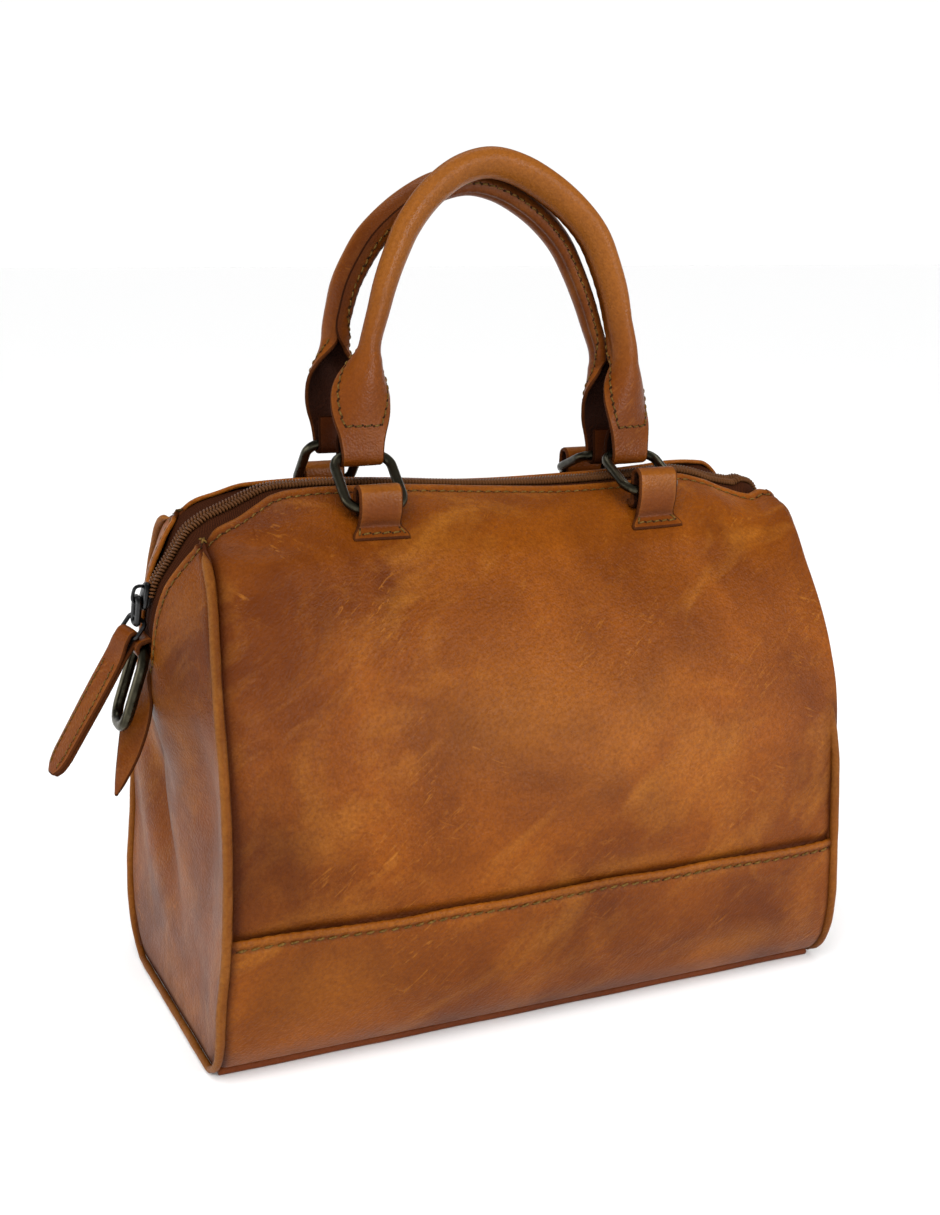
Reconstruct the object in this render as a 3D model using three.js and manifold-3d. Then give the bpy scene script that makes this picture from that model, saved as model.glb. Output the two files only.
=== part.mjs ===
// A bowler bag in tan leather: two bowed panels over a lower band and a flat base, two end gussets
// edged with piping, a zip over the top, and two rolled handles on metal rings.
// Millimetres, +Z up, +X to the right of someone facing the front, which looks along -Y.
// The origin is on the floor under the middle of the base.

import * as THREE from 'three';
import { mergeVertices } from 'three/addons/utils/BufferGeometryUtils.js';
import Module from 'manifold-3d';

const wasm = await Module();
wasm.setup();

// Driving sizes of the body
const LEATHER = 2; // wall thickness
const GAP = 0.3; // clearance between neighbouring pieces
const FLOOR_HALF_WIDTH = 156.5; // half the bag's length at the floor
const SEAM_HALF_WIDTH = 150; // and at the lower seam
const CORNER_HALF_WIDTH = 145; // and at the top corners
const SEAM_HEIGHT = 71; // where the lower band meets the panel
const CORNER_HEIGHT = 229; // top corner, where the piping reaches the zip
const PIPING_RADIUS = 2.6;
const PIPING_SEAT = PIPING_RADIUS + 0.5; // panel and gusset stop this far from the piping's centre
const FLOOR_LINE = PIPING_RADIUS + GAP; // the piping's centre along the floor
const BAND_LAP = 1; // the lower band stands this proud of the panel
const PANEL_BOW = 4; // extra belly of a panel at mid length
const CREST_POWER = 4; // how late the panel's rows take up the zip line's rise
const LEAN_FROM = 120; // both sides lean in above this height
const ZIP_HALF_GAP = 12; // the zip opening's half width along the top
const CORNER_HALF_GAP = 20; // and at the corners
const FLARE_FROM = 95; // the opening widens from this far along the top
const RIM_FROM = 0.88; // share of a panel's climb where its edge draws in to the zip
const BASE_THICKNESS = 2;

// Half depth of the bag at its ends, from the floor up
const PROFILE = [
  { height: FLOOR_LINE, front: 58.5, back: 62 },
  { height: 8, front: 67, back: 74 },
  { height: 20, front: 75, back: 87 },
  { height: 40, front: 80, back: 95 },
  { height: SEAM_HEIGHT, front: 82, back: 96 },
  { height: 95, front: 82, back: 93 },
  { height: 120, front: 80, back: 88 },
  { height: 146, front: 74, back: 81 },
  { height: 172, front: 65, back: 72 },
  { height: 195, front: 55, back: 62 },
  { height: 212, front: 45, back: 52 },
  { height: 222, front: 35, back: 40 },
  { height: CORNER_HEIGHT, front: CORNER_HALF_GAP, back: CORNER_HALF_GAP },
];

// The line of the zip over the top, from low on the left end to low on the right end
const ZIP_LINE = [
  { x: -164.2, z: 189 },
  { x: -160.3, z: 206 },
  { x: -154, z: 217 },
  { x: -CORNER_HALF_WIDTH, z: CORNER_HEIGHT },
  { x: -131, z: 238 },
  { x: -115, z: 244 },
  { x: -90, z: 246 },
  { x: -54, z: 245 },
  { x: -10, z: 242 },
  { x: 39, z: 239 },
  { x: 83, z: 237.5 },
  { x: 117, z: 237.5 },
  { x: 132, z: 237 },
  { x: CORNER_HALF_WIDTH, z: CORNER_HEIGHT },
  { x: 154, z: 217 },
  { x: 160.3, z: 206 },
  { x: 164.2, z: 189 },
];

// How far a gusset swells at its middle, and how deep it is dented beside the ridge
const GUSSET_SWELL = [
  { height: 0, swell: 0, dent: 0 },
  { height: 60, swell: 1, dent: 0 },
  { height: 90, swell: 2, dent: 3 },
  { height: 115, swell: 5, dent: 5 },
  { height: 140, swell: 12, dent: 4 },
  { height: 160, swell: 17, dent: 1 },
  { height: 178, swell: 18, dent: 0 },
  { height: 192, swell: 17.2, dent: 0 },
  { height: 206, swell: 14.4, dent: 0 },
  { height: 217, swell: 8.6, dent: 0 },
  { height: CORNER_HEIGHT, swell: 0, dent: 0 },
];
const DENT_PLACE = 0.52; // share of the half depth where the dent is deepest
const DENT_SPREAD = 0.3;
const SWELL_SHAPE = { low: 2.6, high: 1.2, from: 120, to: 200 }; // a ridge low down, a dome higher up
const GUSSET_TOP = CORNER_HEIGHT - 2;
const SLOT_CUT = 60; // passes right through a gusset

// The zip's slot in a gusset, from its low end up
const ZIP_SLOT = [
  { height: 173, half: 7 },
  { height: 177, half: 9.5 },
  { height: 192, half: 11 },
  { height: 207, half: 13 },
  { height: 219, half: 18 },
  { height: 232, half: 40 },
];

// Zip
const TAPE_DROP = 5; // the tape lies this far under the leather's outside
const TAPE_THICKNESS = 0.8;
const TAPE_UNDERLAP = 0.8; // how far it runs under the leather's edge
const TAPE_HALF_WIDTH = 16; // and no further out than this
const TAPE_SLIT = 0.5; // half the gap between the two tapes
const COIL_RADIUS = 2.35;
const COIL_DROP = TAPE_DROP - GAP - COIL_RADIUS;
const ZIP_STATIONS = 36;

// Handle tabs and rings
const TAB_X = 69;
const TAB_Y = 36;
const TAB_HALF_WIDTH = 8.75;
const TAB_FOOT_HALF_WIDTH = 13;
const SWING_HEIGHT = 240; // the ring's lower bar, which the handle swings on
const RING_WIRE = 2.25; // radius
const BAR_PLAY = 0.4; // clearance of a loop round a bar
const TAB_LOOP_RADIUS = RING_WIRE + BAR_PLAY + LEATHER;
const TAB_TOP = 250.5;
const TAB_FOOT = [5, 3, 1]; // how far the foot lies out from the loop's outer leg
const TAB_HEEL = [1.5, 8]; // and the heel in from its inner leg
const FOOT_LIFT = LEATHER + GAP; // the foot's outside above the panel
const HEEL_LIFT = LEATHER + 2.5 * GAP;
const LEG_SHARE = { outer: 0.45, inner: 0.4 }; // where a leg turns upright, between panel and loop
const RING_HALF_WIDTH = 13.3;
const RING_REACH = 29.5; // from lower bar to upper bar
const RING_CORNER = 5;

// Handles
const HANDLE_RADIUS = 7.25;
// The back handle has settled lower and wider: height of its round part and spread of its legs
const CARRY = [
  { name: 'front', side: -1, ringLean: 52, handleLean: 5, height: 1, spread: 1 },
  { name: 'back', side: 1, ringLean: 56, handleLean: -2.3, height: 0.9, spread: 1.04 },
];
// A handle's leg from its loop up: place, half width, half depth, hollow of the inner face
const HANDLE_LEG = [
  { rise: -4.6, x: 68.8, width: 8.2, depth: 0.9, hollow: 0 },
  { rise: -3.4, x: 68.8, width: 8.75, depth: 3.1, hollow: 0 },
  { rise: -1.4, x: 68.8, width: 8.75, depth: 4.4, hollow: 0 },
  { rise: 5, x: 68.8, width: 9.2, depth: 4.65, hollow: 0 },
  { rise: 11, x: 68.7, width: 10.2, depth: 4.6, hollow: 0.8 },
  { rise: 18, x: 68.5, width: 12, depth: 4.8, hollow: 3 },
  { rise: 24, x: 68.2, width: 12.7, depth: 5.2, hollow: 4.4 },
  { rise: 31, x: 67.6, width: 11.6, depth: 6, hollow: 4.6 },
  { rise: 38, x: 66.7, width: 9.4, depth: 6.8, hollow: 3.4 },
  { rise: 45, x: 65.7, width: 7.7, depth: 7.25, hollow: 1.4 },
  { rise: 52, x: 64.5, width: 7.25, depth: 7.25, hollow: 0 },
];
// The round part's centreline from there to the top of the arch
const HANDLE_ARCH = [
  { rise: 62, x: 62 },
  { rise: 75, x: 58.5 },
  { rise: 88, x: 53.4 },
  { rise: 100, x: 47.3 },
  { rise: 111, x: 38.2 },
  { rise: 120, x: 27.6 },
  { rise: 127.6, x: 14.2 },
  { rise: 130.7, x: 0 },
];
const HANDLE_SIDES = 10;
const PADDLE_SQUARENESS = 0.75; // under 1, the flattened parts of a leg have fuller corners

// Strap rings at the two ends
const STRAP_BAR = { out: 169.3, height: 176 };
const STRAP_RING_WIRE = 2.2;
const STRAP_RING_HALF_WIDTH = 9.9;
const STRAP_RING_REACH = 36;
const STRAP_RING_CORNER = 4.5;
const STRAP_RING_LEAN = 12.5; // degrees out from hanging straight
const STRAP_LOOP_RADIUS = STRAP_RING_WIRE + 1.6 * BAR_PLAY + LEATHER;
// The strap above the loop, and the pointed tail under it: distance out, height and half width
const STRAP_START = [
  { out: 161, height: 180.6, half: 6.4 },
  { out: 165.5, height: 181.2, half: 7 },
];
const STRAP_WRAP = { half: 7, turns: [90, 45, 0, -45, -90, -120] };
const STRAP_TAIL = [
  { out: 168.4, height: 166, half: 7 },
  { out: 168.8, height: 155, half: 7.5 },
  { out: 171, height: 143, half: 8 },
  { out: 174, height: 130, half: 6 },
  { out: 179.5, height: 113, half: 0.8 },
];

// Slider, link, wire ring and leather pull, low on the left end
const SLIDER_AT = { x: -162, z: 201 };
const SLIDER_TILT = 13.6; // degrees that the zip leans in there
const SLIDER_SEAT = COIL_RADIUS - COIL_DROP + GAP; // the slider's underside above the zip line
const SLIDER_LENGTH = 12;
const SLIDER_WIDE = 5.4; // half widths of its two ends
const SLIDER_NARROW = 3.4;
const SLIDER_THICKNESS = 2.8;
const SLIDER_NOSE = { length: 2, inset: 1.2 };
const BRIDGE_HALF_LENGTH = 4.5;
const BRIDGE_HEIGHT = 4.8;
const BRIDGE_WALL = 1.6;
const BRIDGE_WIDTH = 2.6;
const BRIDGE_ROOT = 0.5; // let into the slider
const BRIDGE_CHAMFER = { outside: 1.6, inside: 0.8 };
const LINK_WIRE = 1;
const LINK_HALF_WIDTH = 3.3;
const LINK_REACH = 10;
const LINK_CORNER = 2;
const LINK_LEAN = 36;
const LINK_CLEAR = 1.6; // the link's bar above the slider's plate
const LINK_EYE = { down: 1.5, out: SLIDER_SEAT + SLIDER_THICKNESS + LINK_CLEAR };
const PULL_RING_WIRE = 0.8;
const PULL_RING_HALF_WIDTH = 5.8;
const PULL_RING_REACH = 9;
const PULL_RING_CORNER = 2;
const PULL_RING_LEAN = 33;
const PULL_HOLE = 1.7;
const PULL_LEAN = 27;
const PULL_TWIST = 35; // the leather turns this far along its length
const PULL_TWIST_FROM = 8;
const PULL_SIDES = 12;
const PULL_SQUARENESS = 0.5;
const PULL_HOLE_CUT = 40; // passes right through the loop
// The leather pull from its loop down: half width and half thickness
const PULL_BODY = [
  { run: -3.7, width: 3.4, depth: 0.8 },
  { run: -2.6, width: 4, depth: 2.7 },
  { run: 0, width: 4.2, depth: 3.7 },
  { run: 5, width: 4.6, depth: 3.4 },
  { run: 12, width: 5.4, depth: 2.3 },
  { run: 40, width: 6.3, depth: 2.2 },
  { run: 58, width: 6.6, depth: 2.2 },
  { run: 65, width: 5.2, depth: 2.2 },
  { run: 68, width: 2.4, depth: 2 },
];

// Columns and rows of each wall
const GRID = {
  panel: [18, 10],
  band: [18, 6],
  gusset: [12, 14],
  tape: [ZIP_STATIONS, 1],
  tab: [2, 18],
  strap: [2, 22],
};
const BAND_CROWDING = 1.6; // over 1, rows crowd towards the floor
const GUSSET_CROWDING = 1.4;
const PIPING_HEIGHTS = [228, 220, 208, 190, 168, 142, 115, 88, 62, 40, 24, 13, 7, 4.2, FLOOR_LINE];
const PIPING_FLOOR = [-50, -18, 18, 53]; // places along the floor, front to back
const PIPING_SIDES = 6;
const PIPING_STEPS = 46;
const COIL_SIDES = 6;
const WIRE_SIDES = 7;
const WIRE_TURNS = [0, 30, 60, 90]; // sections round a link's corner
const LOOP_TURNS = [0, 45, 90, 135, 180]; // sections over a tab's loop
const HALVINGS = 30;

const degrees = THREE.MathUtils.degToRad;
const { clamp, lerp, smoothstep } = THREE.MathUtils;

const tanLeather = { color: 0xa5601f, roughness: 0.45, metalness: 0 };
const paleLeather = { color: 0xb8742c, roughness: 0.5, metalness: 0 };
const darkTape = { color: 0x3a1d0f, roughness: 0.8, metalness: 0 };
const brownCoil = { color: 0x5a3216, roughness: 0.35, metalness: 0 };
const darkMetal = { color: 0x3b3a30, roughness: 0.35, metalness: 1 };

// A smooth curve through a table's rows, with no overshoot between them.
function through(rows, at, value) {
  const xs = rows.map((row) => row[at]);
  const ys = rows.map((row) => row[value]);
  const slopes = xs.slice(1).map((x, i) => (ys[i + 1] - ys[i]) / (x - xs[i]));
  const tangents = xs.map((x, i) => {
    const before = slopes[Math.max(i - 1, 0)];
    const after = slopes[Math.min(i, slopes.length - 1)];
    return before * after <= 0 ? 0 : (2 * before * after) / (before + after);
  });
  return (x) => {
    let i = 0;
    while (i < xs.length - 2 && x > xs[i + 1]) i += 1;
    const span = xs[i + 1] - xs[i];
    const t = clamp((x - xs[i]) / span, 0, 1);
    const rise = ys[i + 1] - ys[i];
    const lead = tangents[i] * span;
    const trail = tangents[i + 1] * span;
    return ys[i] + t * (lead + t * (3 * rise - 2 * lead - trail + t * (lead + trail - 2 * rise)));
  };
}

// A closed mesh from points and triangles, turned so that its faces point out.
function closedMesh(points, triangles) {
  let volume = 0;
  for (const [a, b, c] of triangles) {
    volume += points[a].dot(new THREE.Vector3().crossVectors(points[b], points[c]));
  }
  const facing = volume < 0 ? triangles.map(([a, b, c]) => [a, c, b]) : triangles;
  const geometry = new THREE.BufferGeometry();
  const coordinates = points.flatMap((p) => p.toArray());
  geometry.setAttribute('position', new THREE.Float32BufferAttribute(coordinates, 3));
  geometry.setIndex(facing.flat());
  geometry.computeVertexNormals();
  return geometry;
}

// A wall of even thickness: the outer surface, the same surface moved in, and a rim between them.
// surface(u, v) runs over 0 to 1 each way, and du x dv points out of the wall.
function wall(surface, [columns, rows], thickness) {
  const step = 1e-3;
  const outer = [];
  const inner = [];
  for (let j = 0; j <= rows; j += 1) {
    for (let i = 0; i <= columns; i += 1) {
      const [u, v] = [i / columns, j / rows];
      const [u0, u1] = [Math.max(u - step, 0), Math.min(u + step, 1)];
      const [v0, v1] = [Math.max(v - step, 0), Math.min(v + step, 1)];
      const along = surface(u1, v).sub(surface(u0, v));
      const up = surface(u, v1).sub(surface(u, v0));
      const point = surface(u, v);
      outer.push(point);
      inner.push(point.clone().addScaledVector(along.cross(up).normalize(), -thickness));
    }
  }
  const count = outer.length;
  const at = (i, j) => j * (columns + 1) + i;
  const triangles = [];
  const quad = (a, b, c, d) => triangles.push([a, b, c], [a, c, d]);
  for (let j = 0; j < rows; j += 1) {
    for (let i = 0; i < columns; i += 1) {
      const corners = [at(i, j), at(i + 1, j), at(i + 1, j + 1), at(i, j + 1)];
      quad(...corners);
      quad(...corners.map((k) => k + count).reverse());
    }
  }
  const rim = (a, b) => quad(a, a + count, b + count, b);
  for (let i = 0; i < columns; i += 1) {
    rim(at(i, 0), at(i + 1, 0));
    rim(at(i + 1, rows), at(i, rows));
  }
  for (let j = 0; j < rows; j += 1) {
    rim(at(0, j + 1), at(0, j));
    rim(at(columns, j), at(columns, j + 1));
  }
  return closedMesh([...outer, ...inner], triangles);
}

// A solid through a row of sections, each a ring of as many points, capped or closed on itself.
function loft(sections, closed) {
  const sides = sections[0].length;
  const points = sections.flat();
  const triangles = [];
  const spans = closed ? sections.length : sections.length - 1;
  for (let j = 0; j < spans; j += 1) {
    const next = (j + 1) % sections.length;
    for (let i = 0; i < sides; i += 1) {
      const k = (i + 1) % sides;
      const [a, b] = [j * sides + i, j * sides + k];
      const [c, d] = [next * sides + k, next * sides + i];
      triangles.push([a, b, c], [a, c, d]);
    }
  }
  if (!closed) {
    const last = (sections.length - 1) * sides;
    for (let i = 1; i < sides - 1; i += 1) {
      triangles.push([0, i + 1, i], [last, last + i, last + i + 1]);
    }
  }
  return closedMesh(points, triangles);
}

// Booleans between closed geometries.
function toSolid(geometry) {
  const bare = geometry.clone();
  bare.deleteAttribute('normal');
  bare.deleteAttribute('uv');
  const merged = mergeVertices(bare, 1e-4);
  return new wasm.Manifold(new wasm.Mesh({
    numProp: 3,
    vertProperties: new Float32Array(merged.attributes.position.array),
    triVerts: new Uint32Array(merged.index.array),
  }));
}

function toGeometry(solid) {
  const mesh = solid.getMesh();
  const geometry = new THREE.BufferGeometry();
  const coordinates = Float32Array.from(mesh.vertProperties);
  geometry.setAttribute('position', new THREE.BufferAttribute(coordinates, 3));
  geometry.setIndex(Array.from(mesh.triVerts));
  geometry.computeVertexNormals();
  return geometry;
}

function subtract(geometry, ...cutters) {
  const whole = toSolid(geometry);
  return toGeometry(cutters.reduce((rest, cutter) => rest.subtract(toSolid(cutter)), whole));
}

function part(name, geometry, finish) {
  const material = new THREE.MeshStandardMaterial({ ...finish, side: THREE.FrontSide });
  const mesh = new THREE.Mesh(geometry, material);
  mesh.name = name;
  return mesh;
}

// The body's surfaces
const depthAt = { '-1': through(PROFILE, 'height', 'front'), 1: through(PROFILE, 'height', 'back') };
const crestAt = through(ZIP_LINE, 'x', 'z');
const swellAt = through(GUSSET_SWELL, 'height', 'swell');
const dentAt = through(GUSSET_SWELL, 'height', 'dent');

function halfWidthAt(height) {
  if (height < SEAM_HEIGHT) return lerp(FLOOR_HALF_WIDTH, SEAM_HALF_WIDTH, height / SEAM_HEIGHT);
  const share = (height - SEAM_HEIGHT) / (CORNER_HEIGHT - SEAM_HEIGHT);
  return lerp(SEAM_HALF_WIDTH, CORNER_HALF_WIDTH, share);
}

// The half width of the zip's opening along the top.
function rimAt(x) {
  return lerp(ZIP_HALF_GAP, CORNER_HALF_GAP, smoothstep(Math.abs(x), FLARE_FROM, CORNER_HALF_WIDTH));
}

// A point on the outside of the front (side -1) or back (side 1), at a share of the bag's length from
// -1 to 1 and at a height measured at the bag's ends; the middle rises to the zip line's crest.
function sidePoint(side, share, endHeight, proud = 0) {
  const climb = Math.max((endHeight - SEAM_HEIGHT) / (CORNER_HEIGHT - SEAM_HEIGHT), 0);
  const topX = share * CORNER_HALF_WIDTH;
  const height = endHeight + (crestAt(topX) - CORNER_HEIGHT) * climb ** CREST_POWER;
  const narrowing = (CORNER_HALF_GAP - rimAt(topX)) * smoothstep(climb, RIM_FROM, 1);
  const bow = PANEL_BOW * (1 - share ** 2) * Math.sin(Math.PI * Math.min(endHeight / CORNER_HEIGHT, 1));
  const depth = depthAt[side](endHeight) - narrowing + bow + proud;
  return new THREE.Vector3(share * (halfWidthAt(endHeight) - PIPING_SEAT), side * depth, height);
}

// The height, measured at the bag's ends, where the upper part of a side stands at a half depth.
function heightWhere(side, share, depth) {
  let [low, high] = [LEAN_FROM, CORNER_HEIGHT];
  for (let step = 0; step < HALVINGS; step += 1) {
    const middle = (low + high) / 2;
    if (Math.abs(sidePoint(side, share, middle).y) > depth) low = middle;
    else high = middle;
  }
  return low;
}

function panel(side) {
  const low = SEAM_HEIGHT + GAP;
  const surface = (u, v) => {
    const share = -side * (2 * u - 1);
    return sidePoint(side, share, lerp(low, CORNER_HEIGHT, Math.sin((v * Math.PI) / 2)));
  };
  return wall(surface, GRID.panel, LEATHER);
}

function lowerBand(side) {
  const low = BASE_THICKNESS + GAP;
  const surface = (u, v) => {
    const height = lerp(low, SEAM_HEIGHT, v ** BAND_CROWDING);
    return sidePoint(side, -side * (2 * u - 1), height, BAND_LAP);
  };
  return wall(surface, GRID.band, LEATHER);
}

function basePanel() {
  const half = FLOOR_HALF_WIDTH - PIPING_SEAT;
  const [front, back] = [PROFILE[0].front, PROFILE[0].back];
  const outline = new THREE.Shape([
    new THREE.Vector2(-half, -front),
    new THREE.Vector2(half, -front),
    new THREE.Vector2(half, back),
    new THREE.Vector2(-half, back),
  ]);
  return new THREE.ExtrudeGeometry(outline, { depth: BASE_THICKNESS, bevelEnabled: false });
}

// The half depth of a gusset, held clear of the piping that follows the profile.
function gussetReach(side, height) {
  const step = 0.05;
  const slope = (depthAt[side](height + step) - depthAt[side](height - step)) / (2 * step);
  return depthAt[side](height) - PIPING_SEAT * Math.hypot(1, slope);
}

function gussetPoint(end, across, height) {
  const side = across < 0 ? -1 : 1;
  const { low, high, from, to } = SWELL_SHAPE;
  const sharpness = lerp(low, high, smoothstep(height, from, to));
  const swell = swellAt(height) * (1 - across ** 2) ** sharpness;
  const dent = dentAt(height) * Math.exp(-(((Math.abs(across) - DENT_PLACE) / DENT_SPREAD) ** 2));
  const x = end * (halfWidthAt(height) + swell - dent * (1 - across ** 4));
  return new THREE.Vector3(x, across * gussetReach(side, height), height);
}

function slotCutter(end) {
  const outline = new THREE.Shape();
  const edge = ZIP_SLOT.map(({ height, half }) => new THREE.Vector2(half, height));
  outline.setFromPoints([...edge, ...edge.map(({ x, y }) => new THREE.Vector2(-x, y)).reverse()]);
  const prism = new THREE.ExtrudeGeometry(outline, { depth: SLOT_CUT, bevelEnabled: false });
  prism.applyMatrix4(new THREE.Matrix4().makeBasis(
    new THREE.Vector3(0, 1, 0),
    new THREE.Vector3(0, 0, 1),
    new THREE.Vector3(1, 0, 0),
  ));
  return prism.translate(end * SEAM_HALF_WIDTH - SLOT_CUT / 2, 0, 0);
}

function gusset(end) {
  const low = FLOOR_LINE + PIPING_SEAT;
  const surface = (u, v) => {
    const height = lerp(low, GUSSET_TOP, v ** GUSSET_CROWDING);
    return gussetPoint(end, end * (2 * u - 1), height);
  };
  return subtract(wall(surface, GRID.gusset, LEATHER), slotCutter(end));
}

// A ring of points round a centre, in the plane of two unit directions.
function roundSection(centre, first, second, radius, sides) {
  return Array.from({ length: sides }, (unused, i) => {
    const angle = (2 * Math.PI * i) / sides;
    return centre.clone()
      .addScaledVector(first, radius * Math.cos(angle))
      .addScaledVector(second, radius * Math.sin(angle));
  });
}

// Piping: down the front edge of a gusset, along the floor and up its back edge.
function piping(end) {
  const edge = (side) => PIPING_HEIGHTS.map((height) => (
    new THREE.Vector3(end * halfWidthAt(height), side * depthAt[side](height), height)
  ));
  const floor = PIPING_FLOOR.map((y) => new THREE.Vector3(end * FLOOR_HALF_WIDTH, y, FLOOR_LINE));
  const places = [...edge(-1), ...floor, ...edge(1).reverse()];
  const line = new THREE.CatmullRomCurve3(places, false, 'centripetal');
  const section = new THREE.Shape(roundSection(
    new THREE.Vector3(),
    new THREE.Vector3(1, 0, 0),
    new THREE.Vector3(0, 1, 0),
    PIPING_RADIUS,
    PIPING_SIDES,
  ).map(({ x, y }) => new THREE.Vector2(x, y)));
  const options = { steps: PIPING_STEPS, extrudePath: line, bevelEnabled: false };
  return new THREE.ExtrudeGeometry(section, options);
}

// The zip line as a curve, with the direction that looks out of the bag at each place.
const zipCurve = new THREE.CatmullRomCurve3(
  ZIP_LINE.map(({ x, z }) => new THREE.Vector3(x, 0, z)),
  false,
  'centripetal',
);

function zipPlace(share, drop) {
  const tangent = zipCurve.getTangentAt(share);
  const out = new THREE.Vector3(-tangent.z, 0, tangent.x);
  return { point: zipCurve.getPointAt(share).addScaledVector(out, -drop), out };
}

// The half width of the opening anywhere on the zip line, over the top or down an end.
const slotAt = through(ZIP_SLOT, 'height', 'half');

function openingAt(place) {
  const overTop = rimAt(place.x);
  if (Math.abs(place.x) < CORNER_HALF_WIDTH) return overTop;
  return slotAt(place.z);
}

function zipTape(side) {
  const surface = (u, v) => {
    const { point } = zipPlace(u, TAPE_DROP);
    const edge = Math.min(openingAt(zipCurve.getPointAt(u)) + TAPE_UNDERLAP, TAPE_HALF_WIDTH);
    const across = side < 0 ? lerp(-edge, -TAPE_SLIT, v) : lerp(TAPE_SLIT, edge, v);
    return point.setY(across);
  };
  return wall(surface, GRID.tape, TAPE_THICKNESS);
}

function zipCoil() {
  const across = new THREE.Vector3(0, 1, 0);
  const sections = Array.from({ length: ZIP_STATIONS + 1 }, (unused, i) => {
    const { point, out } = zipPlace(i / ZIP_STATIONS, COIL_DROP);
    return roundSection(point, out, across, COIL_RADIUS, COIL_SIDES);
  });
  return loft(sections, false);
}

// A metal link in the XZ plane: a round wire along a rounded rectangle whose first bar runs through
// the origin along X and whose other bar lies at +Z.
function link(halfWidth, reach, corner, wire) {
  const across = new THREE.Vector3(0, 1, 0);
  const corners = [
    { x: halfWidth - corner, z: corner, start: -90 },
    { x: halfWidth - corner, z: reach - corner, start: 0 },
    { x: corner - halfWidth, z: reach - corner, start: 90 },
    { x: corner - halfWidth, z: corner, start: 180 },
  ];
  const sections = corners.flatMap(({ x, z, start }) => WIRE_TURNS.map((turn) => {
    const angle = degrees(start + turn);
    const out = new THREE.Vector3(Math.cos(angle), 0, Math.sin(angle));
    const centre = new THREE.Vector3(x, 0, z).addScaledVector(out, corner);
    return roundSection(centre, out, across, wire, WIRE_SIDES);
  }));
  return loft(sections, true);
}

// A handle tab: a foot sewn flat on the panel, up the outside of the loop, over the ring's bar,
// down the inside and flat again towards the zip.
function tab(side, x) {
  const legs = { outer: TAB_Y + TAB_LOOP_RADIUS, inner: TAB_Y - TAB_LOOP_RADIUS };
  const feet = TAB_FOOT.map((reach) => (
    { depth: legs.outer + reach, half: TAB_FOOT_HALF_WIDTH, lift: FOOT_LIFT }
  ));
  const heels = TAB_HEEL.map((reach) => (
    { depth: legs.inner - reach, half: TAB_HALF_WIDTH, lift: HEEL_LIFT }
  ));
  const onPanel = (at, depth, lift) => {
    const endHeight = heightWhere(side, at / CORNER_HALF_WIDTH, depth);
    const share = at / (halfWidthAt(endHeight) - PIPING_SEAT);
    const point = sidePoint(side, share, endHeight);
    const up = sidePoint(side, share, endHeight + 0.1).sub(sidePoint(side, share, endHeight - 0.1));
    const out = new THREE.Vector3(0, side * up.z, -side * up.y).normalize();
    return point.addScaledVector(out, lift);
  };
  const arch = TAB_TOP - TAB_LOOP_RADIUS;
  const path = (share) => {
    const sewn = (row) => onPanel(x + share * row.half, row.depth, row.lift);
    const free = (turn, height) => {
      const angle = degrees(turn);
      const out = TAB_Y + TAB_LOOP_RADIUS * Math.cos(angle);
      const rise = TAB_LOOP_RADIUS * Math.sin(angle);
      return new THREE.Vector3(x + share * TAB_HALF_WIDTH, side * out, height + rise);
    };
    const foot = feet.map(sewn);
    const heel = heels.map(sewn);
    return [
      ...foot,
      free(0, lerp(foot[foot.length - 1].z, arch, LEG_SHARE.outer)),
      ...LOOP_TURNS.map((turn) => free(turn, arch)),
      free(180, lerp(heel[0].z, arch, LEG_SHARE.inner)),
      ...heel,
    ];
  };
  const surface = (u, v) => {
    const share = -side * (2 * u - 1);
    return new THREE.CatmullRomCurve3(path(share), false, 'centripetal').getPoint(v);
  };
  return wall(surface, GRID.tab, LEATHER);
}

// A flattened round section: half width across the leg, half depth front to back, and a hollow in
// the inner face.
function legSection(centre, across, { width, depth, hollow }) {
  const inward = new THREE.Vector3(0, 1, 0);
  const power = width > HANDLE_RADIUS ? PADDLE_SQUARENESS : 1;
  const square = (value) => Math.sign(value) * Math.abs(value) ** power;
  return Array.from({ length: HANDLE_SIDES }, (unused, i) => {
    const angle = (2 * Math.PI * i) / HANDLE_SIDES;
    const [c, s] = [Math.cos(angle), Math.sin(angle)];
    const sunk = s > 0 ? hollow * s ** 2 : 0;
    return centre.clone()
      .addScaledVector(across, width * square(c))
      .addScaledVector(inward, depth * square(s) - sunk);
  });
}

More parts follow.
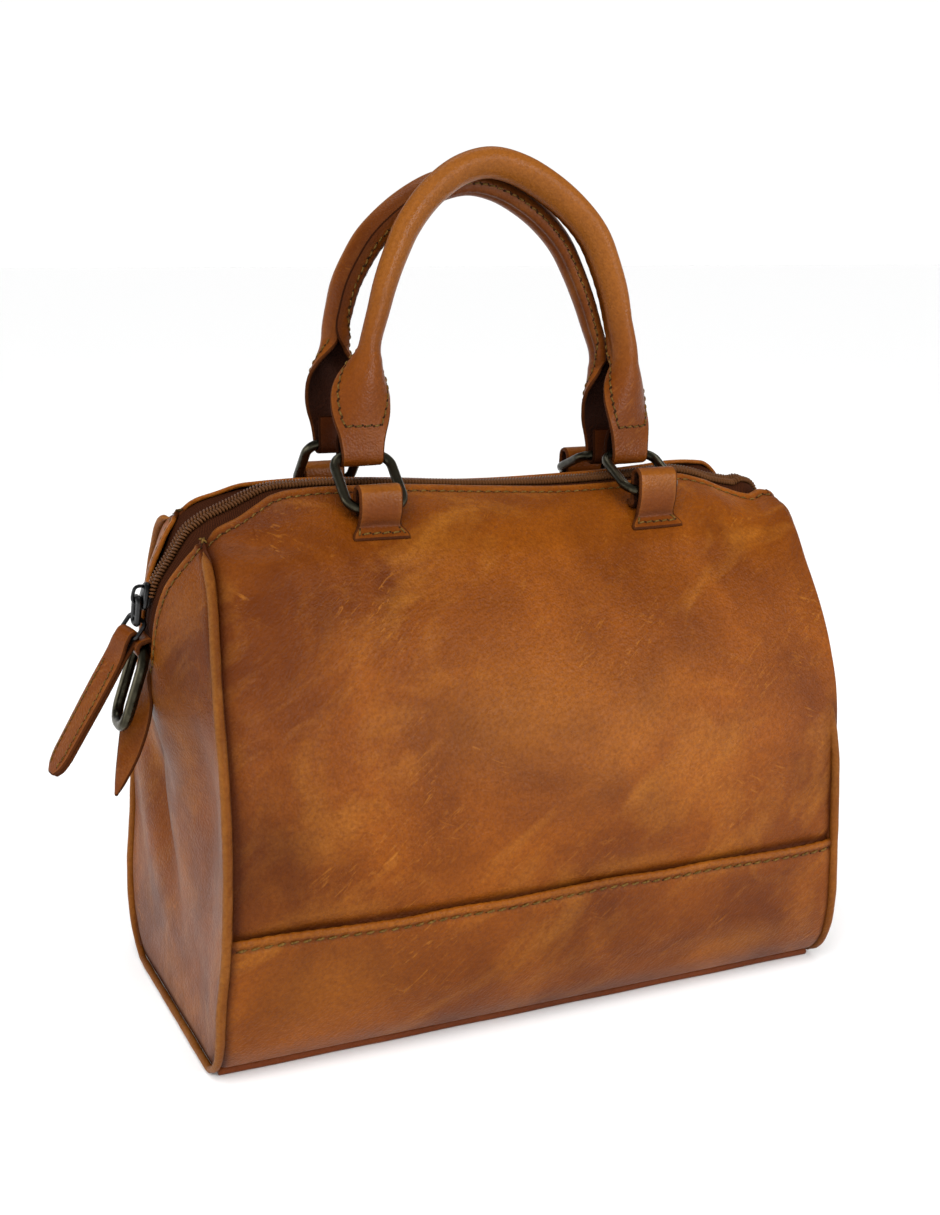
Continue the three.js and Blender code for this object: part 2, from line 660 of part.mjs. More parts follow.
// A handle in its own frame: the ring's upper bar lies on the X axis, the inner face looks to +Y.
function handle(height, spread) {
  const round = { width: HANDLE_RADIUS, depth: HANDLE_RADIUS, hollow: 0 };
  const neck = HANDLE_LEG[HANDLE_LEG.length - 1].rise;
  const settle = (row) => ({
    ...row,
    rise: row.rise > neck ? lerp(neck, row.rise, height) : row.rise,
    x: row.x * lerp(1, spread, clamp(row.rise / neck, 0, 1)),
  });
  const arch = HANDLE_ARCH.map((place) => ({ ...place, ...round }));
  const rows = [...HANDLE_LEG, ...arch].map(settle);
  const top = rows.length - 1;
  const rowPoint = ({ rise, x }) => new THREE.Vector3(-x, 0, rise);
  const left = rows.map((row, i) => {
    const below = rowPoint(rows[Math.max(i - 1, 0)]);
    const above = i < top ? rowPoint(rows[i + 1]) : below.clone().setX(-below.x);
    const along = above.sub(below).normalize();
    return legSection(rowPoint(row), new THREE.Vector3(along.z, 0, -along.x), row);
  });
  const mirror = (section) => section.map(({ x, y, z }) => new THREE.Vector3(-x, y, z));
  const right = left.slice(0, top).map(mirror).reverse();
  const eye = RING_WIRE + BAR_PLAY;
  const bar = new THREE.CylinderGeometry(eye, eye, 4 * TAB_X, HANDLE_SIDES);
  return subtract(loft([...left, ...right], false), bar.rotateZ(Math.PI / 2));
}

// Both handles with their rings, swung to where they stand.
function carry({ name, side, ringLean, handleLean, height, spread }) {
  const group = new THREE.Group();
  group.position.set(0, side * TAB_Y, SWING_HEIGHT);
  group.rotation.z = side < 0 ? 0 : Math.PI;
  for (const [hand, x] of [['left', -TAB_X], ['right', TAB_X]]) {
    const shape = link(RING_HALF_WIDTH, RING_REACH, RING_CORNER, RING_WIRE);
    const ring = part(`${name}_${hand}_ring`, shape, darkMetal);
    ring.position.x = -side * x;
    ring.rotation.x = -degrees(ringLean);
    group.add(ring);
  }
  const grip = part(`${name}_handle`, handle(height, spread), tanLeather);
  const lean = degrees(ringLean);
  grip.position.set(0, RING_REACH * Math.sin(lean), RING_REACH * Math.cos(lean));
  grip.rotation.x = -degrees(handleLean);
  group.add(grip);
  return group;
}

// A strap tab: out of the zip's end, over the ring's bar, back under it and down to a point.
function strapTab(end) {
  const wrap = STRAP_WRAP.turns.map((turn) => ({
    out: STRAP_BAR.out + STRAP_LOOP_RADIUS * Math.cos(degrees(turn)),
    height: STRAP_BAR.height + STRAP_LOOP_RADIUS * Math.sin(degrees(turn)),
    half: STRAP_WRAP.half,
  }));
  const rows = [...STRAP_START, ...wrap, ...STRAP_TAIL];
  const surface = (u, v) => {
    const share = -end * (2 * u - 1);
    const line = rows.map(({ out, height, half }) => (
      new THREE.Vector3(end * out, share * half, height)
    ));
    return new THREE.CatmullRomCurve3(line, false, 'centripetal').getPoint(v);
  };
  return wall(surface, GRID.strap, LEATHER);
}

function strapRing(end, name) {
  const shape = link(STRAP_RING_HALF_WIDTH, STRAP_RING_REACH, STRAP_RING_CORNER, STRAP_RING_WIRE);
  const ring = part(name, shape.rotateZ(Math.PI / 2), darkMetal);
  ring.position.set(end * STRAP_BAR.out, 0, STRAP_BAR.height);
  ring.rotation.y = Math.PI - end * degrees(STRAP_RING_LEAN);
  return ring;
}

// The slider in its own frame: X up along the zip, Z out of the bag, the zip line at the origin.
function slider() {
  const half = SLIDER_LENGTH / 2;
  const shoulder = half - SLIDER_NOSE.length;
  const nose = SLIDER_NARROW - SLIDER_NOSE.inset;
  const plan = new THREE.Shape([
    new THREE.Vector2(-half, -SLIDER_WIDE),
    new THREE.Vector2(shoulder, -SLIDER_NARROW),
    new THREE.Vector2(half, -nose),
    new THREE.Vector2(half, nose),
    new THREE.Vector2(shoulder, SLIDER_NARROW),
    new THREE.Vector2(-half, SLIDER_WIDE),
  ]);
  const plate = new THREE.ExtrudeGeometry(plan, { depth: SLIDER_THICKNESS, bevelEnabled: false });
  plate.translate(0, 0, SLIDER_SEAT);
  const foot = SLIDER_SEAT + SLIDER_THICKNESS;
  const arch = (reach, low, high, chamfer) => new THREE.Shape([
    new THREE.Vector2(-reach, low),
    new THREE.Vector2(reach, low),
    new THREE.Vector2(reach, high - chamfer),
    new THREE.Vector2(reach - chamfer, high),
    new THREE.Vector2(chamfer - reach, high),
    new THREE.Vector2(-reach, high - chamfer),
  ]);
  const standing = (shape, width) => {
    const prism = new THREE.ExtrudeGeometry(shape, { depth: width, bevelEnabled: false });
    return prism.translate(0, 0, -width / 2).rotateX(Math.PI / 2);
  };
  const { outside, inside } = BRIDGE_CHAMFER;
  const top = foot + BRIDGE_HEIGHT;
  const bridge = arch(BRIDGE_HALF_LENGTH, foot - BRIDGE_ROOT, top, outside);
  const eye = arch(BRIDGE_HALF_LENGTH - BRIDGE_WALL, foot + GAP, top - BRIDGE_WALL, inside);
  const whole = toSolid(plate).add(toSolid(standing(bridge, BRIDGE_WIDTH)));
  return toGeometry(whole.subtract(toSolid(standing(eye, BRIDGE_WIDTH * 2))));
}

function pullTab() {
  const length = PULL_BODY[PULL_BODY.length - 1].run;
  const sections = PULL_BODY.map(({ run, width, depth }) => {
    const twist = degrees(PULL_TWIST) * smoothstep(run, PULL_TWIST_FROM, length);
    const across = new THREE.Vector3(Math.cos(twist), Math.sin(twist), 0);
    const thick = new THREE.Vector3(-Math.sin(twist), Math.cos(twist), 0);
    return Array.from({ length: PULL_SIDES }, (unused, i) => {
      const angle = (2 * Math.PI * i) / PULL_SIDES;
      const square = (value) => Math.sign(value) * Math.abs(value) ** PULL_SQUARENESS;
      return new THREE.Vector3(0, 0, run)
        .addScaledVector(across, width * square(Math.cos(angle)))
        .addScaledVector(thick, depth * square(Math.sin(angle)));
    });
  });
  const eye = new THREE.CylinderGeometry(PULL_HOLE, PULL_HOLE, PULL_HOLE_CUT, HANDLE_SIDES);
  return subtract(loft(sections, false), eye.rotateZ(Math.PI / 2));
}

// Turns a piece that reaches along +Z to hang down, leaning out from the bag's left end.
function hang(piece, place, lean) {
  piece.position.copy(place);
  piece.rotation.y = Math.PI + degrees(lean);
  return new THREE.Vector3(-Math.sin(degrees(lean)), 0, -Math.cos(degrees(lean)));
}

// Slider, link, wire ring and leather pull, each hung on the one before.
function zipPull() {
  const body = part('zip_slider', slider(), darkMetal);
  body.position.set(SLIDER_AT.x, 0, SLIDER_AT.z);
  body.rotation.y = degrees(SLIDER_TILT - 90);
  body.updateMatrix();
  const place = new THREE.Vector3(-LINK_EYE.down, 0, LINK_EYE.out).applyMatrix4(body.matrix);
  const linkShape = link(LINK_HALF_WIDTH, LINK_REACH, LINK_CORNER, LINK_WIRE).rotateZ(Math.PI / 2);
  const metalLink = part('zip_pull_link', linkShape, darkMetal);
  place.addScaledVector(hang(metalLink, place, LINK_LEAN), LINK_REACH);
  const ringShape = link(PULL_RING_HALF_WIDTH, PULL_RING_REACH, PULL_RING_CORNER, PULL_RING_WIRE);
  const wireRing = part('zip_pull_ring', ringShape, darkMetal);
  const fall = hang(wireRing, place, PULL_RING_LEAN);
  wireRing.position.addScaledVector(fall, -LINK_WIRE - PULL_RING_WIRE - GAP);
  place.copy(wireRing.position).addScaledVector(fall, PULL_RING_REACH);
  const leather = part('zip_pull_tab', pullTab(), tanLeather);
  hang(leather, place, PULL_LEAN);
  return [body, metalLink, wireRing, leather];
}

const bag = new THREE.Group();
for (const { name, side } of CARRY) {
  bag.add(part(`${name}_panel`, panel(side), tanLeather));
  bag.add(part(`${name}_lower_band`, lowerBand(side), tanLeather));
  bag.add(part(`${name}_zip_tape`, zipTape(side), darkTape));
  for (const [hand, x] of [['left', -TAB_X], ['right', TAB_X]]) {
    bag.add(part(`${name}_${hand}_tab`, tab(side, x), tanLeather));
  }
}
bag.add(part('base_panel', basePanel(), tanLeather));
for (const [hand, end] of [['left', -1], ['right', 1]]) {
  bag.add(part(`${hand}_gusset`, gusset(end), tanLeather));
  bag.add(part(`${hand}_piping`, piping(end), paleLeather));
  bag.add(part(`${hand}_strap_tab`, strapTab(end), tanLeather));
  bag.add(strapRing(end, `${hand}_strap_ring`));
}
bag.add(part('zip_coil', zipCoil(), brownCoil));
bag.add(...zipPull());
CARRY.forEach((row) => bag.add(carry(row)));

export default bag;
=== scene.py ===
"""Looks of a tan leather bowler bag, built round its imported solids.

Sizes are in millimetres and are turned into metres when a mesh is made. +X is to the right of someone
facing the front, the front looks along -Y and +Z is up. The origin is on the floor under the middle.
"""

from __future__ import annotations

import logging
import math
from dataclasses import dataclass, field
from enum import Enum

import bpy
import numpy as np
from bpy.types import Material, Node, NodeSocket, NodeTree, Object
from mathutils import Matrix, Vector

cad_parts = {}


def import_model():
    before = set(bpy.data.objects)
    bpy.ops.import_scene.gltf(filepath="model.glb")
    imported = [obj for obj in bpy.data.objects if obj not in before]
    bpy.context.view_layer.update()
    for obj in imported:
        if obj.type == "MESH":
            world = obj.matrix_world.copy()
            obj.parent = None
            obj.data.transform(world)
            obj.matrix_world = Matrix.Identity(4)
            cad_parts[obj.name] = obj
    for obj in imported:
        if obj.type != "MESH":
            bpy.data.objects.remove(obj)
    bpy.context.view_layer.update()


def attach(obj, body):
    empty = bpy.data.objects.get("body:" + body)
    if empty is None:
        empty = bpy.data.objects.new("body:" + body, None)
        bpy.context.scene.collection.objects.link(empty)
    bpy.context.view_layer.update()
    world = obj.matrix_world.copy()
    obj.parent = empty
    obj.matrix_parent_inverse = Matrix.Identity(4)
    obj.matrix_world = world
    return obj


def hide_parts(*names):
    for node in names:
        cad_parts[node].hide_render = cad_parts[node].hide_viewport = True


Array = np.ndarray
Colour = tuple[float, float, float]

LOG = logging.getLogger("bowler_bag")
MM = 0.001
UP = np.array([0.0, 0.0, 1.0])
DEEP = np.array([0.0, 1.0, 0.0])
WIDE = np.array([1.0, 0.0, 0.0])


class Way(Enum):
    """A direction, by the sign of its axis."""

    @property
    def label(self) -> str:
        """How the names of pieces call it."""
        return self.name.lower()


class Side(Way):
    """The bag's two long sides, by the sign of Y."""

    FRONT = -1
    BACK = 1


class End(Way):
    """The bag's two short ends, by the sign of X."""

    LEFT = -1
    RIGHT = 1


class Slot(Enum):
    """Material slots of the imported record."""

    BODY = "tan_leather"
    PIPING = "piping_leather"
    STRAP = "strap_leather"
    TAPE = "zip_tape"
    COIL = "zip_coil"
    METAL = "dark_metal"


# Curves and grids


def smoothstep(value: Array | float, low: float, high: float) -> Array:
    """Soft step from 0 at low to 1 at high."""
    share = np.clip((np.asarray(value, float) - low) / (high - low), 0.0, 1.0)
    return share * share * (3.0 - 2.0 * share)


def hump(distance: Array | float, spread: float) -> Array:
    """Bell curve of height 1 at distance 0."""
    return np.exp(-((np.asarray(distance, float) / spread) ** 2))


def unit(vectors: Array) -> Array:
    """Vectors scaled to length 1."""
    return vectors / np.maximum(np.linalg.norm(vectors, axis=-1, keepdims=True), 1e-9)


class SmoothTable:
    """A curve through a table's rows that doesn't overshoot between them."""

    def __init__(self, places: Array, values: Array) -> None:
        """Keeps the rows and works out the curve's slopes.

        Args:
            places: Where the rows lie, rising.
            values: The value at each place.
        """
        self.places = np.asarray(places, float)
        self.values = np.asarray(values, float)
        slopes = np.diff(self.values) / np.diff(self.places)
        before = np.r_[slopes[0], slopes]
        after = np.r_[slopes, slopes[-1]]
        total = np.where(before + after == 0.0, 1.0, before + after)
        self.tangents = np.where(before * after > 0.0, 2.0 * before * after / total, 0.0)

    def __call__(self, at: Array | float) -> Array:
        """Reads the curve.

        Args:
            at: One place or many.

        Returns:
            The curve's value at each place.
        """
        at = np.asarray(at, float)
        i = np.clip(np.searchsorted(self.places, at) - 1, 0, len(self.places) - 2)
        span = self.places[i + 1] - self.places[i]
        t = np.clip((at - self.places[i]) / span, 0.0, 1.0)
        rise = self.values[i + 1] - self.values[i]
        lead, trail = self.tangents[i] * span, self.tangents[i + 1] * span
        cubic = 3.0 * rise - 2.0 * lead - trail + t * (lead + trail - 2.0 * rise)
        return self.values[i] + t * (lead + t * cubic)


def arc_of(path: Array) -> Array:
    """Distance along a path at each of its points."""
    return np.r_[0.0, np.cumsum(np.linalg.norm(np.diff(path, axis=0), axis=1))]


def along_path(path: Array, at: Array) -> Array:
    """Rows of a path, or of values beside it, read at distances along the first three columns."""
    arc = arc_of(path[:, :3])
    return np.stack([np.interp(at, arc, column) for column in path.T], axis=1)


def smooth_path(rows: Array, count: int, fine: int = 24) -> Array:
    """A centripetal curve through rows, read at evenly spaced places.

    Args:
        rows: Points in the first three columns, and any values that go with them after those.
        count: How many rows come back.
        fine: Steps between two rows while the curve is made.

    Returns:
        Evenly spaced rows of the curve.
    """
    rows = np.asarray(rows, float)
    ends = np.vstack([2 * rows[0] - rows[1], rows, 2 * rows[-1] - rows[-2]])
    knots = np.r_[0.0, np.cumsum(np.linalg.norm(np.diff(ends[:, :3], axis=0), axis=1) ** 0.5)]
    made = []
    for i in range(1, len(ends) - 2):
        k = knots[i - 1 : i + 3]
        p = ends[i - 1 : i + 3]
        t = np.linspace(k[1], k[2], fine, endpoint=False)[:, None]
        a = [((k[j + 1] - t) * p[j] + (t - k[j]) * p[j + 1]) / (k[j + 1] - k[j]) for j in range(3)]
        b = [((k[j + 2] - t) * a[j] + (t - k[j]) * a[j + 1]) / (k[j + 2] - k[j]) for j in range(2)]
        made.append(((k[2] - t) * b[0] + (t - k[1]) * b[1]) / (k[2] - k[1]))
    curve = np.vstack([*made, ends[-2:-1]])
    return along_path(curve, np.linspace(0.0, arc_of(curve[:, :3])[-1], count))


def normals_of(grid: Array) -> Array:
    """Unit normals of a grid of points, columns crossed with rows."""
    return unit(np.cross(np.gradient(grid, axis=1), np.gradient(grid, axis=0)))


def outward_sign(normals: Array, outward: Array) -> float:
    """1 where normals look outward on the whole, -1 where they look inward."""
    return float(np.sign(np.mean(np.sum(normals * outward, axis=-1))))


def column_order(sign: float) -> slice:
    """The order of a grid's columns that makes its normals look outward."""
    return slice(None, None, -1) if sign < 0 else slice(None)


def column_arc(grid: Array) -> Array:
    """Distance up each column of a grid, from its first row."""
    steps = np.linalg.norm(np.diff(grid, axis=0), axis=2)
    return np.vstack([np.zeros((1, grid.shape[1])), np.cumsum(steps, axis=0)])


def read_grid(grid: Array, rows: Array, columns: Array) -> Array:
    """Points between a grid's own, by row and column numbers that needn't be whole.

    Args:
        grid: Rows by columns of points.
        rows: Row numbers.
        columns: Column numbers.

    Returns:
        One point for each pair.
    """
    rows = np.clip(rows, 0, grid.shape[0] - 1.001)
    columns = np.clip(columns, 0, grid.shape[1] - 1.001)
    i, j = rows.astype(int), columns.astype(int)
    a, b = (rows - i)[:, None], (columns - j)[:, None]
    low = grid[i, j] * (1 - b) + grid[i, j + 1] * b
    high = grid[i + 1, j] * (1 - b) + grid[i + 1, j + 1] * b
    return low * (1 - a) + high * a


def grid_faces(rows: int, columns: int, loop_columns: bool = False, loop_rows: bool = False) -> Array:
    """Four-cornered faces of a grid.

    Args:
        rows: Points up the grid.
        columns: Points along the grid.
        loop_columns: Whether the last column joins the first.
        loop_rows: Whether the last row joins the first.

    Returns:
        Four point numbers for each face.
    """
    j = np.arange(rows if loop_rows else rows - 1)[:, None]
    i = np.arange(columns if loop_columns else columns - 1)[None, :]
    up, right = (j + 1) % rows, (i + 1) % columns
    corners = [j * columns + i, j * columns + right, up * columns + right, up * columns + i]
    return np.stack(np.broadcast_arrays(*corners), axis=-1).reshape(-1, 4)


def capped_faces(rings: int, sides: int) -> Array:
    """Faces of a bar with both ends closed.

    Args:
        rings: Rings of points along the bar.
        sides: Points round each ring.

    Returns:
        Four point numbers for each face.
    """
    last = (rings - 1) * sides
    near = [[0, i + 1, i, i] for i in range(1, sides - 1)]
    far = [[last, last + i, last + i + 1, last + i + 1] for i in range(1, sides - 1)]
    return np.concatenate([grid_faces(rings, sides, loop_columns=True), near, far])


def turns_of(sides: int) -> Array:
    """Angles of evenly spaced points round a circle."""
    return 2 * np.pi * np.arange(sides) / sides


def blunt(share: Array) -> Array:
    """Sines or cosines pushed outward, which squares a circle's corners."""
    return np.sign(share) * np.abs(share) ** 0.6


def spread_out(middles: Array, *axes: tuple[Array, Array]) -> Array:
    """Points of the same shape about many middles.

    Args:
        middles: One row per copy of the shape.
        axes: Directions, one per copy, each with the offsets along it, one per point of the shape.

    Returns:
        Copies by points.
    """
    points = middles[:, None, :]
    for direction, offsets in axes:
        points = points + direction[:, None, :] * offsets[None, :, None]
    return points


# Meshes


@dataclass
class Skin:
    """Points, faces and surface masks gathered for one piece.

    A face whose last two corners are the same is a triangle.
    """

    points: list[Array] = field(default_factory=list)
    faces: list[Array] = field(default_factory=list)
    paints: list[Array] = field(default_factory=list)
    creases: list[Array] = field(default_factory=list)
    rubs: list[Array] = field(default_factory=list)
    count: int = 0

    def add(
        self,
        points: Array,
        faces: Array,
        paint: int | Array = 0,
        crease: float | Array = 0.0,
        rub: float | Array = 0.0,
    ) -> None:
        """Adds points with their faces.

        Args:
            points: One row per point.
            faces: Point numbers, counted within these points.
            paint: The finish of the faces, one number or one per face.
            crease: How much painted shade each point gets in folds, seams and hollows, 0 to 1.
            rub: How worn each point is, with painted sheen added on some pieces, 0 to 1.
        """
        self.points.append(points)
        self.faces.append(faces + self.count)
        self.paints.append(np.broadcast_to(paint, len(faces)))
        self.creases.append(np.broadcast_to(np.asarray(crease, float), len(points)))
        self.rubs.append(np.broadcast_to(np.asarray(rub, float), len(points)))
        self.count += len(points)

    def repeat(self, points: Array, faces: Array, paint: int = 0) -> None:
        """Adds copies of one shape."""
        each = np.arange(len(points))[:, None, None] * points.shape[1]
        self.add(points.reshape(-1, 3), (faces[None] + each).reshape(-1, 4), paint)

    def shell(
        self,
        outer: Array,
        thickness: float,
        crease: Array | float = 0.0,
        rub: Array | float = 0.0,
        edge_paint: int = 0,
        inner_paint: int = 0,
        rolls: int = 4,
        edge_rub: float = 0.0,
    ) -> None:
        """Adds a wall of even thickness with a rounded rim.

        Args:
            outer: The outer surface, rows by columns of points.
            thickness: The wall's thickness.
            crease: The outer surface's painted shade mask.
            rub: The outer surface's mask of wear and painted sheen.
            edge_paint: The finish of the rim.
            inner_paint: The finish of the inside.
            rolls: Faces round the rim.
            edge_rub: Wear of the rim.
        """
        rows, columns = outer.shape[:2]
        normal = normals_of(outer)
        inner = outer - thickness * normal
        number = np.arange(rows * columns).reshape(rows, columns)
        rim = np.concatenate(
            [number[0], number[1:, -1], number[-1, -2::-1], number[-2:0:-1, 0]]
        )
        place = outer.reshape(-1, 3)[rim]
        out = normal.reshape(-1, 3)[rim]
        side = unit(np.cross(np.roll(place, -1, axis=0) - np.roll(place, 1, axis=0), out))
        turns = np.pi * np.arange(1, rolls) / rolls
        rings = [
            place - out * thickness / 2 * (1 - np.cos(turn)) + side * thickness / 2 * np.sin(turn)
            for turn in turns
        ]
        size, around = rows * columns, len(rim)
        bands = [rim, *[2 * size + k * around + np.arange(around) for k in range(rolls - 1)], size + rim]
        rim_faces = [
            np.stack([a, b, np.roll(b, -1), np.roll(a, -1)], axis=1) for a, b in zip(bands, bands[1:])
        ]
        grid = grid_faces(rows, columns)
        faces = [grid, grid[:, ::-1] + size, *rim_faces]
        paint = [0, inner_paint, *[edge_paint] * len(rim_faces)]
        crease = np.broadcast_to(crease, (rows, columns)).reshape(-1)
        rub = np.broadcast_to(rub, (rows, columns)).reshape(-1)
        self.add(
            np.concatenate([place_of.reshape(-1, 3) for place_of in [outer, inner, *rings]]),
            np.concatenate(faces),
            np.concatenate([np.full(len(f), p) for f, p in zip(faces, paint)]),
            np.concatenate([crease, crease, *[crease[rim]] * (rolls - 1)]),
            np.concatenate([rub, rub, *[np.maximum(rub[rim], edge_rub)] * (rolls - 1)]),
        )

    def tube(
        self,
        path: Array,
        radius: float | Array,
        sides: int,
        first: Array,
        flat: float = 1.0,
        loop: bool = False,
        rub: float = 0.0,
    ) -> None:
        """Adds a round bar along a path.

        Args:
            path: The bar's centreline.
            radius: Its radius, one or one per point.
            sides: Faces round it.
            first: Direction that its section starts from at the first point.
            flat: Its second radius as a share of the first.
            loop: Whether the path closes on itself.
            rub: Wear on the side that looks along first.
        """
        tangent = np.gradient(path, axis=0)
        if loop:
            tangent = np.roll(path, -1, axis=0) - np.roll(path, 1, axis=0)
        tangent = unit(tangent)
        side = np.empty_like(path)
        carried = np.asarray(first, float)
        for k, along in enumerate(tangent):
            carried = unit(carried - along * np.dot(carried, along))
            side[k] = carried
        third = np.cross(tangent, side)
        turn = turns_of(sides)
        radius = np.broadcast_to(radius, len(path))[:, None, None]
        ring = np.cos(turn)[None, :, None] * side[:, None, :]
        ring = ring + flat * np.sin(turn)[None, :, None] * third[:, None, :]
        points = path[:, None, :] + radius * ring
        faces = grid_faces(len(path), sides, True, True) if loop else capped_faces(len(path), sides)
        worn = np.tile(rub * smoothstep(np.cos(turn), 0.2, 1.0), len(path))
        self.add(points.reshape(-1, 3), faces, rub=worn)

    def make(self, name: str, finishes: list[Material]) -> Object:
        """Turns what was gathered into an object.

        Args:
            name: The object's name.
            finishes: Its materials, in the order of the paint numbers.

        Returns:
            The new object.
        """
        mesh = bpy.data.meshes.new(name)
        rows = np.concatenate(self.faces).tolist()
        faces = [row[:3] if row[2] == row[3] else row for row in rows]
        mesh.from_pydata((np.concatenate(self.points) * MM).tolist(), [], faces)
        mesh.polygons.foreach_set("material_index", np.concatenate(self.paints).astype(np.int32))
        mesh.polygons.foreach_set("use_smooth", np.ones(len(faces), bool))
        for mask, values in (("crease", self.creases), ("rub", self.rubs)):
            layer = mesh.attributes.new(mask, "FLOAT", "POINT")
            layer.data.foreach_set("value", np.concatenate(values).astype(np.float32))
        for finish in finishes:
            mesh.materials.append(finish)
        mesh.update()
        piece = bpy.data.objects.new(name, mesh)
        bpy.context.scene.collection.objects.link(piece)
        return piece


@dataclass(frozen=True)
class Stitch:
    """A run of hand-length stitches in thick thread."""

    pitch: float = 5.0
    length: float = 3.9
    radius: float = 0.46
    lift: float = 0.5
    sink: float = 0.22
    slant: float = 9.0
    hole: float = 0.62
    hole_stretch: float = 1.25
    hole_sides: int = 8
    rings: int = 7
    sides: int = 6

    def sew(self, skin: Skin, line: Array, normals: Array) -> None:
        """Adds stitches along a line, with a low dimple painted as a needle hole's shade at both ends of
        each.

        Args:
            skin: Where the stitches go. Paint 0 is thread and paint 1 the holes' painted shade.
            line: Points on the leather's surface.
            normals: The surface's normal at each point.
        """
        total = arc_of(line)[-1]
        count = max(int(round(total / self.pitch)), 1)
        at = (np.arange(count) + 0.5) * total / count
        rows = along_path(np.hstack([line, normals]), at)
        reach = 0.4 * self.length
        ahead = along_path(line, np.clip(at + reach, 0, total))
        behind = along_path(line, np.clip(at - reach, 0, total))
        out = unit(rows[:, 3:])
        straight = unit(ahead - behind)
        across = np.cross(out, straight)
        lean = math.radians(self.slant)
        run = straight * math.cos(lean) + across * math.sin(lean)
        side = np.cross(out, run)
        step = np.linspace(-1.0, 1.0, self.rings)
        turn = turns_of(self.sides)
        girth = self.radius * np.sqrt(np.maximum(1 - step**6, 0.08))
        rise = self.lift * (1 - 1.2 * step**2) - self.sink
        along = np.repeat(step * self.length / 2, self.sides)
        height = np.repeat(rise, self.sides) + np.outer(girth, np.sin(turn)).ravel()
        width = np.outer(girth, np.cos(turn)).ravel()
        points = spread_out(rows[:, :3], (run, along), (out, height), (side, width))
        skin.repeat(points, capped_faces(self.rings, self.sides))
        for sign in (-1.0, 1.0):
            self._pierce(skin, rows[:, :3] + run * sign * self.length * 0.5, run, side, out)

    def sew_on(self, skin: Skin, grid: Array, normals: Array, rows: Array, columns: Array) -> None:
        """Adds stitches along a line of places on a grid."""
        self.sew(skin, read_grid(grid, rows, columns), read_grid(normals, rows, columns))

    def sew_level(
        self,
        skin: Skin,
        grid: Array,
        normals: Array,
        measure: Array,
        level: float,
        margin: float,
        count: int = 400,
    ) -> None:
        """Adds stitches across a grid, where a measure that grows up its columns reaches a level.

        Args:
            skin: Where the stitches go.
            grid: The leather's surface.
            normals: The normal at each of its points.
            measure: The measure at each of its points.
            level: What it has to be.
            margin: Columns left bare at both ends.
            count: Places along the line.
        """
        columns = np.linspace(margin, grid.shape[1] - 1.0 - margin, count)
        rows = [np.interp(level, measure[:, int(c)], np.arange(len(grid))) for c in columns]
        self.sew_on(skin, grid, normals, np.array(rows), columns)

    def _pierce(self, skin: Skin, places: Array, run: Array, side: Array, out: Array) -> None:
        """Adds a low dimple at each place, painted dark as the shade in a needle hole.

        Args:
            skin: Where the dimples go.
            places: Their middles.
            run: Their long direction.
            side: Their short direction.
            out: Their normals.
        """
        sides = self.hole_sides
        long = self.hole * self.hole_stretch * np.cos(turns_of(sides))
        wide = self.hole * np.sin(turns_of(sides))
        rings = [
            spread_out(places, (run, share * long), (side, share * wide), (out, np.full(sides, lift)))
            for share, lift in ((1.0, -0.12), (0.75, 0.07))
        ]
        top = spread_out(places, (out, np.array([0.1])))
        crown = [[sides + i, sides + (i + 1) % sides, 2 * sides, 2 * sides] for i in range(sides)]
        floor = [[0, i + 1, i, i] for i in range(1, sides - 1)]
        faces = np.concatenate([grid_faces(2, sides, loop_columns=True), crown, floor])
        skin.repeat(np.concatenate([*rings, top], axis=1), faces, 1)


# Finishes


